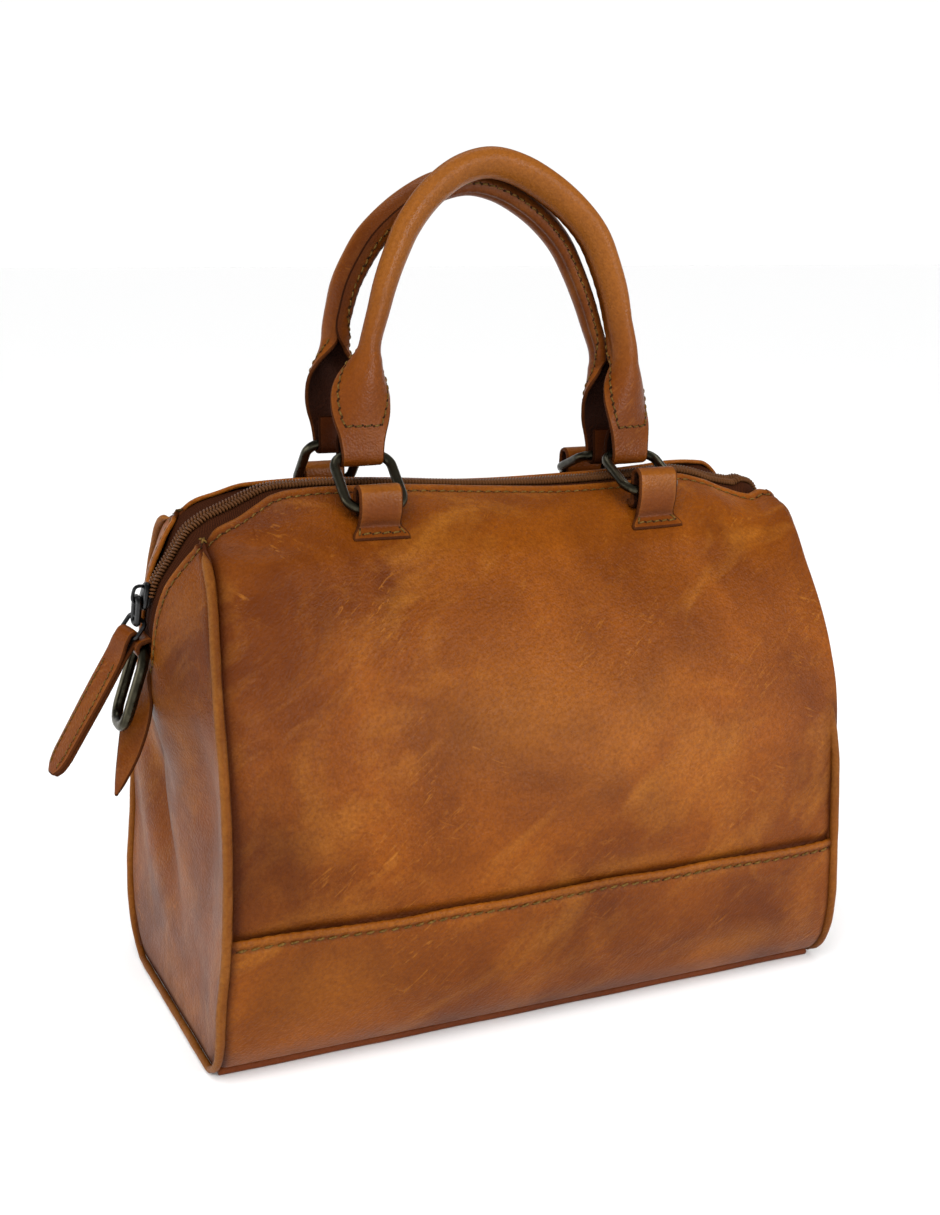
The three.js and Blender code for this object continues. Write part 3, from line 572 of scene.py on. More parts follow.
class Bench:
    """Short ways to lay and join shader nodes in one tree."""

    def __init__(self, tree: NodeTree) -> None:
        """Keeps the tree."""
        self.tree = tree

    def node(self, kind: str, **settings: object) -> Node:
        """Adds a node.

        Args:
            kind: The node's type, without the ShaderNode in front.
            settings: Attributes of the node, or values and links of its inputs by name.

        Returns:
            The node.
        """
        made = self.tree.nodes.new(kind if kind.startswith("Node") else "ShaderNode" + kind)
        for key, value in settings.items():
            if hasattr(made, key):
                setattr(made, key, value)
            else:
                self.feed(made.inputs[key.replace("_", " ")], value)
        return made

    def feed(self, socket: NodeSocket, value: object) -> None:
        """Links a socket, or sets its value.

        Args:
            socket: The input.
            value: A socket to link, or a value to set.
        """
        if isinstance(value, NodeSocket):
            self.tree.links.new(value, socket)
        elif isinstance(value, tuple) and socket.type == "RGBA":
            socket.default_value = (*value, 1.0)
        else:
            socket.default_value = value

    def mix(self, share: object, first: object, second: object, blend: str = "MIX") -> NodeSocket:
        """Mixes two colours.

        Args:
            share: How much of the second shows.
            first: A colour or a link.
            second: A colour or a link.
            blend: How they mix.

        Returns:
            The mixed colour.
        """
        made = self.tree.nodes.new("ShaderNodeMix")
        made.data_type = "RGBA"
        made.blend_type = blend
        for index, value in ((0, share), (6, first), (7, second)):
            self.feed(made.inputs[index], value)
        return made.outputs[2]

    def sum(self, operation: str, first: object, second: object = 0.0) -> NodeSocket:
        """One step of arithmetic.

        Args:
            operation: Its name in the Math node.
            first: A number or a link.
            second: A number or a link.

        Returns:
            The result.
        """
        made = self.tree.nodes.new("ShaderNodeMath")
        made.operation = operation
        self.feed(made.inputs[0], first)
        self.feed(made.inputs[1], second)
        return made.outputs[0]

    def times(self, first: object, second: object) -> NodeSocket:
        """The product of two numbers or links."""
        return self.sum("MULTIPLY", first, second)

    def span(
        self, value: object, low: float, high: float, start: float = 0.0, end: float = 1.0
    ) -> NodeSocket:
        """Stretches a range of values, held at both ends.

        Args:
            value: The value to stretch.
            low: Where the range starts.
            high: Where it ends.
            start: What low turns into.
            end: What high turns into.

        Returns:
            The stretched value.
        """
        made = self.node(
            "MapRange", Value=value, From_Min=low, From_Max=high, To_Min=start, To_Max=end
        )
        return made.outputs["Result"]

    def noise(
        self,
        vector: object,
        scale: float,
        detail: float = 3.0,
        roughness: float = 0.5,
        distortion: float = 0.0,
    ) -> NodeSocket:
        """Cloudy noise.

        Args:
            vector: Where it is read.
            scale: Clouds per metre.
            detail: Octaves.
            roughness: Strength of the finer octaves.
            distortion: How far the clouds are stirred.

        Returns:
            The noise, 0 to 1.
        """
        made = self.node(
            "TexNoise", Vector=vector, Scale=scale, Detail=detail, Roughness=roughness, Distortion=distortion
        )
        return made.outputs["Fac"]

    def turned(self, vector: object, rotation: Colour, scale: Colour) -> NodeSocket:
        """Coordinates turned and then stretched.

        Args:
            vector: The coordinates.
            rotation: Degrees about each axis.
            scale: Stretch along each axis after the turn.

        Returns:
            The new coordinates.
        """
        turn = self.node("Mapping", Vector=vector)
        turn.inputs["Rotation"].default_value = tuple(math.radians(v) for v in rotation)
        stretch = self.node("VectorMath", operation="MULTIPLY")
        self.feed(stretch.inputs[0], turn.outputs[0])
        stretch.inputs[1].default_value = scale
        return stretch.outputs[0]

    def mask(self, name: str) -> NodeSocket:
        """A mask that the mesh carries."""
        return self.node("Attribute", attribute_name=name).outputs["Fac"]


class Effect(Enum):
    """Shared effects, each a node group."""

    HIDE = "hide_tone"
    GRAIN = "hide_grain"
    TARNISH = "metal_tarnish"
    WEAVE = "tape_weave"


class Effects:
    """Builds the shared node groups once and places them in materials."""

    def __init__(self) -> None:
        """Builds every group."""
        self.groups: dict[Effect, NodeTree] = {
            Effect.HIDE: self._hide(),
            Effect.GRAIN: self._grain(),
            Effect.TARNISH: self._tarnish(),
            Effect.WEAVE: self._weave(),
        }

    @staticmethod
    def _start(
        effect: Effect, inputs: dict[str, str], outputs: dict[str, str]
    ) -> tuple[Bench, dict[str, NodeSocket], Node]:
        """Makes an empty group with its sockets.

        Args:
            effect: Which group.
            inputs: Socket types by name.
            outputs: Socket types by name.

        Returns:
            The bench, the links of the inputs by name, and the output node.
        """
        tree = bpy.data.node_groups.new(effect.value, "ShaderNodeTree")
        for way, sockets in (("INPUT", inputs), ("OUTPUT", outputs)):
            for name, kind in sockets.items():
                tree.interface.new_socket(name, in_out=way, socket_type="NodeSocket" + kind)
        bench = Bench(tree)
        given = bench.node("NodeGroupInput")
        return bench, {name: given.outputs[name] for name in inputs}, bench.node("NodeGroupOutput")

    def _hide(self) -> NodeTree:
        """Marbled, streaked and scuffed colour of waxed hide, with painted shade and painted sheen, and its
        roughness.

        Returns:
            The group.
        """
        colours = dict.fromkeys(("Base", "Dark", "Pale"), "Color")
        values = dict.fromkeys(("Marbling", "Streaks", "Crease", "Rub", "Roughness"), "Float")
        results = {"Color": "Color", "Roughness": "Float"}
        bench, given, out = self._start(Effect.HIDE, {**colours, **values}, results)
        place = bench.node("TexCoord").outputs["Object"]
        clouds = bench.span(bench.noise(place, 13.0, 6.0, 0.58, 0.6), 0.36, 0.68)
        deep = bench.times(clouds, given["Marbling"])
        colour = bench.mix(deep, given["Base"], given["Dark"])
        patches = bench.noise(bench.turned(place, (0, 36, 12), (11, 26, 27)), 1.0, 6.0, 0.62, 0.9)
        patches = bench.times(bench.span(patches, 0.5, 0.8), given["Streaks"])
        fibres = bench.noise(bench.turned(place, (0, 40, 8), (60, 170, 420)), 1.0, 5.0, 0.65, 1.6)
        where = bench.span(bench.noise(place, 19.0, 3.0), 0.46, 0.66)
        fibres = bench.times(bench.span(fibres, 0.56, 0.7), where)
        cracks = bench.noise(bench.turned(place, (0, -22, 0), (70, 150, 380)), 1.0, 4.0, 0.6, 2.2)
        spots = bench.span(bench.noise(place, 27.0, 2.0, 0.5, 0.6), 0.56, 0.7)
        cracks = bench.times(bench.span(cracks, 0.57, 0.68), spots)
        worn = bench.sum("MAXIMUM", fibres, cracks)
        pale = bench.sum("MAXIMUM", patches, bench.times(worn, given["Streaks"]))
        # Paler towards Pale with wear and, on some pieces, with painted sheen.
        pale = bench.sum("MAXIMUM", pale, given["Rub"])
        colour = bench.mix(pale, colour, given["Pale"])
        fleck = bench.noise(place, 620.0, 3.0, 0.6)
        fleck = bench.times(bench.span(fleck, 0.38, 0.7), bench.times(given["Marbling"], 0.5))
        colour = bench.mix(fleck, colour, given["Dark"])
        # Painted shade: the crease mask darkens the colour towards a deep brown.
        shut = bench.times(given["Crease"], 0.85)
        colour = bench.mix(shut, colour, bench.mix(1.0, given["Dark"], (0.34, 0.26, 0.22), "MULTIPLY"))
        bench.feed(out.inputs["Color"], colour)
        matt = bench.span(bench.noise(place, 46.0, 4.0, 0.6), 0.3, 0.7, -0.05, 0.07)
        matt = bench.sum("ADD", given["Roughness"], matt)
        matt = bench.sum("ADD", matt, bench.times(given["Crease"], 0.2))
        bench.feed(out.inputs["Roughness"], matt)
        return bench.tree

    def _grain(self) -> NodeTree:
        """Height of a hide's pores and fine wrinkles.

        Returns:
            The group.
        """
        bench, given, out = self._start(
            Effect.GRAIN, {"Pores": "Float", "Wrinkles": "Float"}, {"Height": "Float"}
        )
        place = bench.node("TexCoord").outputs["Object"]
        cells = bench.node("TexVoronoi", feature="SMOOTH_F1", Vector=place, Scale=900.0, Smoothness=0.5)
        pores = bench.times(bench.span(cells.outputs["Distance"], 0.0, 0.7), given["Pores"])
        folds = bench.noise(bench.turned(place, (0, 40, 10), (150, 260, 520)), 1.0, 4.0, 0.6, 0.9)
        folds = bench.times(bench.span(folds, 0.35, 0.7), given["Wrinkles"])
        bench.feed(out.inputs["Height"], bench.sum("ADD", pores, folds))
        return bench.tree

    def _tarnish(self) -> NodeTree:
        """Colour and roughness of antiqued metal, brighter where it is rubbed.

        Returns:
            The group.
        """
        bench, given, out = self._start(
            Effect.TARNISH,
            {"Dark": "Color", "Bright": "Color", "Rub": "Float"},
            {"Color": "Color", "Roughness": "Float", "Height": "Float"},
        )
        place = bench.node("TexCoord").outputs["Object"]
        clouds = bench.span(bench.noise(place, 160.0, 5.0, 0.6, 0.4), 0.42, 0.72)
        bright = bench.sum("MAXIMUM", bench.times(clouds, 0.35), given["Rub"])
        bench.feed(out.inputs["Color"], bench.mix(bright, given["Dark"], given["Bright"]))
        matt = bench.span(bench.noise(place, 420.0, 3.0), 0.3, 0.7, 0.26, 0.44)
        bench.feed(out.inputs["Roughness"], matt)
        bench.feed(out.inputs["Height"], bench.noise(place, 900.0, 2.0))
        return bench.tree

    def _weave(self) -> NodeTree:
        """Colour and height of a fine twill, read in the tape's own two directions.

        Returns:
            The group.
        """
        bench, given, out = self._start(
            Effect.WEAVE,
            {"Thread": "Color", "Gap": "Color", "Along": "Float", "Across": "Float"},
            {"Color": "Color", "Height": "Float"},
        )
        place = bench.node("CombineXYZ", X=given["Along"], Y=given["Across"])
        turned = bench.turned(place.outputs[0], (0, 0, 32), (1.0, 1.0, 1.0))
        ribs = bench.node("TexWave", Vector=turned, Scale=420.0, Distortion=1.2, Detail=2.0)
        cross = bench.node("TexWave", Vector=place.outputs[0], Scale=300.0, bands_direction="X")
        cross = bench.span(cross.outputs["Fac"], 0.0, 1.0, 0.5, 1.0)
        height = bench.times(ribs.outputs["Fac"], cross)
        bench.feed(out.inputs["Color"], bench.mix(height, given["Gap"], given["Thread"]))
        bench.feed(out.inputs["Height"], height)
        return bench.tree

    def place(self, bench: Bench, effect: Effect, **values: object) -> Node:
        """Puts a group in a material with its own values.

        Args:
            bench: The material's bench.
            effect: Which group.
            values: Values or links of the group's inputs by name.

        Returns:
            The group's node.
        """
        node = bench.node("Group")
        node.node_tree = self.groups[effect]
        for name, value in values.items():
            bench.feed(node.inputs[name], value)
        return node


def start_material(name: str) -> tuple[Material, Bench, Node]:
    """A material with a bare shader.

    Args:
        name: The material's name.

    Returns:
        The material, its bench and its shader.
    """
    material = bpy.data.materials.new(name)
    material.use_nodes = True
    bench = Bench(material.node_tree)
    shader = next(n for n in material.node_tree.nodes if n.type == "BSDF_PRINCIPLED")
    return material, bench, shader


def add_bump(bench: Bench, shader: Node, height: NodeSocket, depth: float) -> None:
    """Joins a height to a shader's normal."""
    bump = bench.node("Bump", Height=height, Distance=depth)
    bench.feed(shader.inputs["Normal"], bump.outputs["Normal"])


@dataclass(frozen=True)
class LeatherFinish:
    """Waxed pull-up hide."""

    name: str
    base: Colour
    dark: Colour
    pale: Colour
    marbling: float = 0.9
    streaks: float = 0.75
    roughness: float = 0.37
    pores: float = 0.7
    wrinkles: float = 0.8
    depth: float = 0.00024
    gloss: float = 0.1

    def build(self, effects: Effects) -> Material:
        """Makes the material.

        Args:
            effects: The shared groups.

        Returns:
            The material.
        """
        material, bench, shader = start_material(self.name)
        tone = effects.place(
            bench,
            Effect.HIDE,
            Base=self.base,
            Dark=self.dark,
            Pale=self.pale,
            Marbling=self.marbling,
            Streaks=self.streaks,
            Roughness=self.roughness,
            Crease=bench.mask("crease"),
            Rub=bench.mask("rub"),
        )
        grain = effects.place(bench, Effect.GRAIN, Pores=self.pores, Wrinkles=self.wrinkles)
        bench.feed(shader.inputs["Base Color"], tone.outputs["Color"])
        bench.feed(shader.inputs["Roughness"], tone.outputs["Roughness"])
        shader.inputs["Specular IOR Level"].default_value = self.gloss
        add_bump(bench, shader, grain.outputs["Height"], self.depth)
        return material


@dataclass(frozen=True)
class MetalFinish:
    """Antiqued hardware metal."""

    name: str
    dark: Colour
    bright: Colour

    def build(self, effects: Effects) -> Material:
        """Makes the material.

        Args:
            effects: The shared groups.

        Returns:
            The material.
        """
        material, bench, shader = start_material(self.name)
        skin = effects.place(
            bench, Effect.TARNISH, Dark=self.dark, Bright=self.bright, Rub=bench.mask("rub")
        )
        bench.feed(shader.inputs["Base Color"], skin.outputs["Color"])
        bench.feed(shader.inputs["Roughness"], skin.outputs["Roughness"])
        shader.inputs["Metallic"].default_value = 1.0
        add_bump(bench, shader, skin.outputs["Height"], 0.00003)
        return material


@dataclass(frozen=True)
class ThreadFinish:
    """Waxed sewing thread, or the painted shade of a needle hole."""

    name: str
    base: Colour
    dark: Colour
    roughness: float = 0.6

    def build(self, effects: Effects) -> Material:
        """Makes the material.

        Args:
            effects: The shared groups, of which thread uses the pores.

        Returns:
            The material.
        """
        material, bench, shader = start_material(self.name)
        place = bench.node("TexCoord").outputs["Object"]
        twist = bench.span(bench.noise(place, 900.0, 3.0, 0.6), 0.35, 0.65)
        bench.feed(shader.inputs["Base Color"], bench.mix(twist, self.dark, self.base))
        shader.inputs["Roughness"].default_value = self.roughness
        shader.inputs["Specular IOR Level"].default_value = 0.05
        grain = effects.place(bench, Effect.GRAIN, Pores=1.0, Wrinkles=0.3)
        add_bump(bench, shader, grain.outputs["Height"], 0.0002)
        return material


@dataclass(frozen=True)
class TapeFinish:
    """Woven zip tape."""

    name: str
    thread: Colour
    gap: Colour

    def build(self, effects: Effects) -> Material:
        """Makes the material.

        Args:
            effects: The shared groups.

        Returns:
            The material.
        """
        material, bench, shader = start_material(self.name)
        cloth = effects.place(
            bench,
            Effect.WEAVE,
            Thread=self.thread,
            Gap=self.gap,
            # On the tape the two masks carry distances along and across it.
            Along=bench.mask("crease"),
            Across=bench.mask("rub"),
        )
        bench.feed(shader.inputs["Base Color"], cloth.outputs["Color"])
        shader.inputs["Roughness"].default_value = 0.8
        shader.inputs["Specular IOR Level"].default_value = 0.02
        add_bump(bench, shader, cloth.outputs["Height"], 0.0003)
        return material


class Wardrobe:
    """Every finish of the bag."""

    def __init__(self) -> None:
        """Builds the materials."""
        effects = Effects()
        hides = {
            "body": LeatherFinish(
                "tan_hide", (0.19, 0.0485, 0.0024), (0.069, 0.0138, 0.0008), (0.30, 0.106, 0.012)
            ),
            "piping": LeatherFinish(
                "piping_hide", (0.165, 0.051, 0.006), (0.07, 0.017, 0.002), (0.30, 0.125, 0.026),
                marbling=0.8, streaks=0.4, roughness=0.5, gloss=0.08,
            ),
            "strap": LeatherFinish(
                "strap_hide", (0.128, 0.031, 0.0026), (0.056, 0.0115, 0.0010), (0.30, 0.110, 0.017),
                marbling=0.6, streaks=0.35, roughness=0.34, pores=0.5, wrinkles=0.2,
            ),
            "edge": LeatherFinish(
                "cut_edge", (0.05, 0.013, 0.003), (0.022, 0.006, 0.002), (0.11, 0.032, 0.007),
                marbling=0.6, streaks=0.1, roughness=0.5, gloss=0.03,
            ),
            # The flesh side, coloured near-black as painted shade of the insides.
            "shaded_flesh": LeatherFinish(
                "flesh_side", (0.022, 0.006, 0.0024), (0.011, 0.003, 0.0014), (0.045, 0.012, 0.004),
                marbling=0.7, streaks=0.1, roughness=0.75, pores=1.0, wrinkles=1.0, depth=0.0003,
            ),
            "seam": LeatherFinish(
                "seam_roll", (0.12, 0.026, 0.005), (0.06, 0.013, 0.003), (0.22, 0.065, 0.011),
                marbling=0.6, streaks=0.2, roughness=0.5,
            ),
        }
        self.leather = {key: finish.build(effects) for key, finish in hides.items()}
        self.thread = ThreadFinish("olive_thread", (0.135, 0.073, 0.017), (0.05, 0.026, 0.007)).build(effects)
        # Needle holes: painted shade on low dimples.
        hole = ThreadFinish("needle_hole", (0.030, 0.012, 0.004), (0.016, 0.007, 0.003), 0.8)
        self.hole = hole.build(effects)
        self.tape = TapeFinish("chocolate_tape", (0.058, 0.017, 0.006), (0.020, 0.006, 0.003)).build(effects)
        self.coil = LeatherFinish(
            "brown_coil", (0.088, 0.034, 0.011), (0.038, 0.014, 0.005), (0.16, 0.07, 0.028),
            marbling=0.4, streaks=0.1, roughness=0.28, pores=0.1, wrinkles=0.1,
        ).build(effects)
        self.ring = MetalFinish("olive_metal", (0.022, 0.020, 0.013), (0.2, 0.18, 0.12)).build(effects)
        self.black = MetalFinish("black_metal", (0.022, 0.022, 0.023), (0.12, 0.12, 0.12)).build(effects)

    def hides(self, *keys: str) -> list[Material]:
        """Leather materials by name, in the order of a piece's paint numbers."""
        return [self.leather[key] for key in keys]


# The bag's form


PROFILE = (
    (2.9, 58.5, 62.0), (8.0, 67.0, 74.0), (20.0, 75.0, 87.0), (40.0, 80.0, 95.0), (71.0, 82.0, 96.0),
    (95.0, 82.0, 93.0), (120.0, 80.0, 88.0), (146.0, 74.0, 81.0), (172.0, 65.0, 72.0), (195.0, 55.0, 62.0),
    (212.0, 45.0, 52.0), (222.0, 35.0, 40.0), (229.0, 20.0, 20.0),
)
ZIP_LINE = (
    (-164.2, 189.0), (-160.3, 206.0), (-154.0, 217.0), (-145.0, 229.0), (-131.0, 238.0), (-115.0, 244.0),
    (-90.0, 246.0), (-54.0, 245.0), (-10.0, 242.0), (39.0, 239.0), (83.0, 237.5), (117.0, 237.5),
    (132.0, 237.0), (145.0, 229.0), (154.0, 217.0), (160.3, 206.0), (164.2, 189.0),
)
GUSSET_SWELL = (
    (0.0, 0.0, 0.0), (60.0, 1.0, 0.0), (90.0, 2.0, 3.0), (115.0, 5.0, 5.0), (140.0, 12.0, 4.0),
    (160.0, 17.0, 1.0), (178.0, 18.0, 0.0), (192.0, 17.2, 0.0), (206.0, 14.4, 0.0), (217.0, 8.6, 0.0),
    (229.0, 0.0, 0.0),
)
ZIP_SLOT = (
    (173.0, 7.0), (177.0, 9.5), (192.0, 11.0), (207.0, 13.0), (217.0, 15.4), (223.0, 17.4), (229.0, 19.7),
)
ZIP_TAIL = ((164.3, 166.0), (164.9, 180.0))
TOP_EDGE = {
    Side.FRONT: (
        (-146, 0), (-141.5, -0.8), (-138, -0.7), (-133, -1.6), (-125, -2.5), (-117, -1.7), (-110, 0.2),
        (-103, 0.7), (-96, 0.4), (-86, 0.4), (-50, 0.6), (20, 0.6), (80, 3.5), (94.6, 5), (108.7, 1.9),
        (119, -2.4), (130.8, -5.4), (137, 0.2), (146, 6.5),
    ),
    Side.BACK: (
        (-146, 5.6), (-134, 4.2), (-122, 2.4), (-104, 1.5), (-88, 1), (-20, 0), (40, 3),
        (90, 6.2), (105, 7.2),
        (126, 6), (137, 4.4), (146, 3),
    ),
}


@dataclass(frozen=True)
class BagForm:
    """The outer surfaces that every leather piece of the body follows."""

    floor_half_width: float = 156.5
    seam_half_width: float = 150.0
    corner_half_width: float = 145.0
    seam_height: float = 71.0
    corner_height: float = 229.0
    floor_line: float = 2.9
    piping_seat: float = 3.1
    bow: float = 4.0
    crest_power: float = 4.0
    zip_half_gap: float = 12.0
    corner_half_gap: float = 20.0
    flare_from: float = 95.0
    rim_from: float = 0.88
    dent_place: float = 0.52
    dent_spread: float = 0.3
    tape_drop: float = 1.3
    coil_drop: float = 0.3
    left_bulge: float = 4.0
    settle_from: float = 202.0
    settle_to: float = 228.5
    corner_x: float = 143.0
    tables: dict[str, SmoothTable] = field(default_factory=dict)

    def __post_init__(self) -> None:
        """Makes the curves from the tables."""
        for name, table, column in (
            ("front", PROFILE, 1),
            ("back", PROFILE, 2),
            ("crest", ZIP_LINE, 1),
            ("swell", GUSSET_SWELL, 1),
            ("dent", GUSSET_SWELL, 2),
            ("slot", ZIP_SLOT, 1),
        ):
            rows = np.array(table)
            self.tables[name] = SmoothTable(rows[:, 0], rows[:, column])
        for side in Side:
            self.tables[f"{side.label}_edge"] = SmoothTable(*np.array(TOP_EDGE[side], float).T)

    def depth(self, side: Side, height: Array | float) -> Array:
        """Half depth of the bag's end at a height."""
        return self.tables[side.label](height)

    def half_width(self, height: Array | float) -> Array:
        """Half length of the bag at a height."""
        rows = (0.0, self.seam_height, self.corner_height)
        return np.interp(height, rows, (self.floor_half_width, self.seam_half_width, self.corner_half_width))

    def rim(self, x: Array | float) -> Array:
        """Half width of the zip's opening along the top."""
        flare = smoothstep(np.abs(x), self.flare_from, self.corner_half_width)
        return self.zip_half_gap + (self.corner_half_gap - self.zip_half_gap) * flare

    def side_point(self, side: Side, share: Array, height: Array, proud: float = 0.0) -> Array:
        """Points on the front or back.

        Args:
            side: Which side.
            share: Place along the bag, -1 to 1.
            height: Height, measured at the bag's ends.
            proud: How far the points stand off the surface.

        Returns:
            The points.
        """
        share, height = np.broadcast_arrays(np.asarray(share, float), np.asarray(height, float))
        climb = np.maximum((height - self.seam_height) / (self.corner_height - self.seam_height), 0.0)
        top = share * self.corner_half_width
        rise = (self.tables["crest"](top) - self.corner_height) * climb**self.crest_power
        narrowing = (self.corner_half_gap - self.rim(top)) * smoothstep(climb, self.rim_from, 1.0)
        bow = self.bow * (1 - share**2) * np.sin(np.pi * np.minimum(height / self.corner_height, 1.0))
        depth = self.depth(side, height) - narrowing + bow + proud
        x = share * (self.half_width(height) - self.piping_seat)
        rise = rise + self.edge_lift(side, x) * smoothstep(height, self.settle_from, self.settle_to)
        if side is Side.FRONT:
            x = x - self.left_fill(height) * smoothstep(-share, 0.7, 1.0)
        return np.stack([x, side.value * depth, height + rise], axis=-1)

    def gusset_reach(self, side: Side, height: Array | float) -> Array:
        """Half depth of a gusset, clear of the piping's centreline.

        Args:
            side: Front or back.
            height: Heights.

        Returns:
            A half depth for each height.
        """
        step = 0.05
        slope = (self.depth(side, height + step) - self.depth(side, height - step)) / (2 * step)
        return self.depth(side, height) - self.piping_seat * np.hypot(1.0, slope)

    def gusset_out(self, y: Array, z: Array) -> Array:
        """How far a gusset stands out from the bag's middle.

        Args:
            y: Places from front to back.
            z: Heights.

        Returns:
            Distances along X, without their sign.
        """
        reach = np.where(y < 0, self.gusset_reach(Side.FRONT, z), self.gusset_reach(Side.BACK, z))
        across = np.clip(y / np.maximum(reach, 1.0), -1.0, 1.0)
        sharp = 2.6 - 1.4 * smoothstep(z, 120.0, 200.0)
        swell = self.tables["swell"](z) * (1 - across**2) ** sharp
        dent = self.tables["dent"](z) * hump(np.abs(across) - self.dent_place, self.dent_spread)
        return self.half_width(z) + swell - dent * (1 - across**4)

    def edge_lift(self, side: Side, x: Array) -> Array:
        """How far a panel's top edge has settled over or under the zip's line."""
        over = 1.0 - smoothstep(np.abs(x), self.corner_half_width - 3.0, self.corner_half_width + 9.0)
        return self.tables[f"{side.label}_edge"](x) * over

    def left_fill(self, height: Array) -> Array:
        """How far the front's left edge bulges out along the bag."""
        fade = 1.0 - smoothstep(height, 165.0, 235.0)
        return self.left_bulge * smoothstep(height, 0.0, 45.0) * fade

    def corner_lift(self, end: End, y: Array, z: Array) -> Array:
        """How far an end's upper corners have settled with the panels beside them.

        Args:
            end: Left or right.
            y: Places across the bag.
            z: Heights.

        Returns:
            A rise for each place.
        """
        front, back = (self.edge_lift(side, end.value * self.corner_x) for side in Side)
        near = smoothstep(z, 200.0, self.corner_height) * smoothstep(np.abs(y), 4.0, 18.0)
        return np.where(y < 0, front, back) * near

    def zip_tilt(self, x: Array) -> Array:
        """Slope of the zip from the front's edge to the back's."""
        return (self.edge_lift(Side.BACK, x) - self.edge_lift(Side.FRONT, x)) / (2 * self.rim(x))

    def zip_slew(self, x: Array) -> Array:
        """How far the zip has slipped to the front of the middle, over both shoulders."""
        return -4.5 * hump(x + 138.0, 22.0) - 4.5 * hump(x - 126.0, 18.0)

    def zip_path(self, count: int, drop: float, tails: bool = False) -> tuple[Array, Array, Array]:
        """The zip's line at a depth under the leather's outside.

        Args:
            count: How many points.
            drop: How far under the outside they lie.
            tails: Whether the line goes on down both slots to their ends.

        Returns:
            The points, the directions out of the bag and the opening's half widths.
        """
        rows = ZIP_LINE
        if tails:
            rows = (*((-x, z) for x, z in ZIP_TAIL), *rows, *ZIP_TAIL[::-1])
        path = smooth_path(np.array([(x, 0.0, z) for x, z in rows]), count)
        path[:, 2] += sum(self.edge_lift(side, path[:, 0]) for side in Side) / 2
        tangent = unit(np.gradient(path, axis=0))
        out = np.stack([-tangent[:, 2], np.zeros(count), tangent[:, 0]], axis=1)
        over = np.abs(path[:, 0]) < self.corner_half_width
        half = np.where(over, self.rim(path[:, 0]), self.tables["slot"](path[:, 2]))
        return path - out * drop, out, half


@dataclass(frozen=True)
class Fold:
    """A soft swell or dip of the leather: its place, its length and width, its slant and its height."""

    along: float
    up: float
    length: float
    width: float
    slant: float
    lift: float

    def at(self, along: Array, up: Array) -> Array:
        """How far the fold lifts each place.

        Args:
            along: Places along the surface.
            up: Heights.

        Returns:
            The lifts.
        """
        turn = math.radians(self.slant)
        run = (along - self.along) * math.cos(turn) + (up - self.up) * math.sin(turn)
        aside = (up - self.up) * math.cos(turn) - (along - self.along) * math.sin(turn)
        return self.lift * hump(run, self.length) * hump(aside, self.width)


def sum_folds(folds: tuple[Fold, ...], along: Array, up: Array) -> Array:
    """Heights, or tones, of several folds together."""
    return sum(fold.at(along, up) for fold in folds)


PANEL_FOLDS = {
    Side.FRONT: (
        Fold(-124.0, 228.0, 20.0, 3.2, -4.0, -1.8),
        Fold(-124.0, 219.0, 22.0, 6.0, 0.0, 1.2),
        Fold(106.0, 222.0, 26.0, 6.0, -28.0, -1.4),
        Fold(-60.0, 212.0, 20.0, 12.0, 20.0, -1.0),
        Fold(62.0, 210.0, 24.0, 12.0, -16.0, -1.0),
        Fold(20.0, 150.0, 60.0, 22.0, 24.0, 0.9),
        Fold(-70.0, 130.0, 40.0, 26.0, 30.0, -1.0),
        Fold(90.0, 120.0, 44.0, 24.0, 28.0, -0.9),
        Fold(-20.0, 98.0, 60.0, 14.0, 6.0, 0.8),
    ),
    Side.BACK: (
        Fold(-118.0, 228.0, 16.0, 5.0, -6.0, -1.8),
        Fold(-40.0, 206.0, 30.0, 10.0, 12.0, -1.2),
        Fold(48.0, 140.0, 60.0, 24.0, -22.0, 1.2),
        Fold(-80.0, 120.0, 44.0, 22.0, -26.0, -1.2),
        Fold(10.0, 96.0, 60.0, 14.0, -5.0, 0.9),
    ),
}
GUSSET_FOLDS = (
    Fold(42.0, 87.0, 44.0, 9.0, 42.0, -5.0),
    Fold(60.0, 72.0, 40.0, 12.0, 42.0, 2.4),
    Fold(19.0, 103.0, 36.0, 12.0, 44.0, 1.6),
    Fold(-40.0, 62.0, 30.0, 12.0, 70.0, 1.2),
    Fold(-44.0, 190.0, 22.0, 9.0, -60.0, 1.0),
)
STRAP_START = ((157.5, 183.2, 6.4), (162.0, 184.0, 7.0))
STRAP_TAIL = (
    (166.6, 166, 7), (167.8, 155, 7), (170.6, 143, 6.6),
    (174, 130, 5.0), (177.6, 119, 2.5), (179.8, 112.5, 0.7),
)
# Patches of painted shade, painted sheen and paler hide, kept as folds with a tone for a height
PANEL_PAINTED_SHADE = (Fold(-140.0, 104.0, 30.0, 36.0, 0.0, 0.6), Fold(20.0, 205.0, 120.0, 16.0, 0.0, 0.16))
PANEL_PALE_PATCH_AND_SHEEN = (
    Fold(40.0, 138.0, 40.0, 13.0, math.degrees(0.7), 0.22),
    Fold(-14.0, 152.0, 50.0, 26.0, 0.0, 0.3),
)
BAND_FOLDS = (Fold(-60.0, 34.0, 50.0, 12.0, 0.0, 0.6), Fold(60.0, 26.0, 40.0, 10.0, 0.0, -0.7))
BAND_PAINTED_SHADE = (Fold(-10.0, 40.0, 46.0, 26.0, 0.0, 0.2),)
BAND_PALE_PATCHES = (Fold(-110.0, 44.0, 34.0, 22.0, 0.0, 0.22), Fold(100.0, 24.0, 26.0, 8.0, 0.0, 0.3))
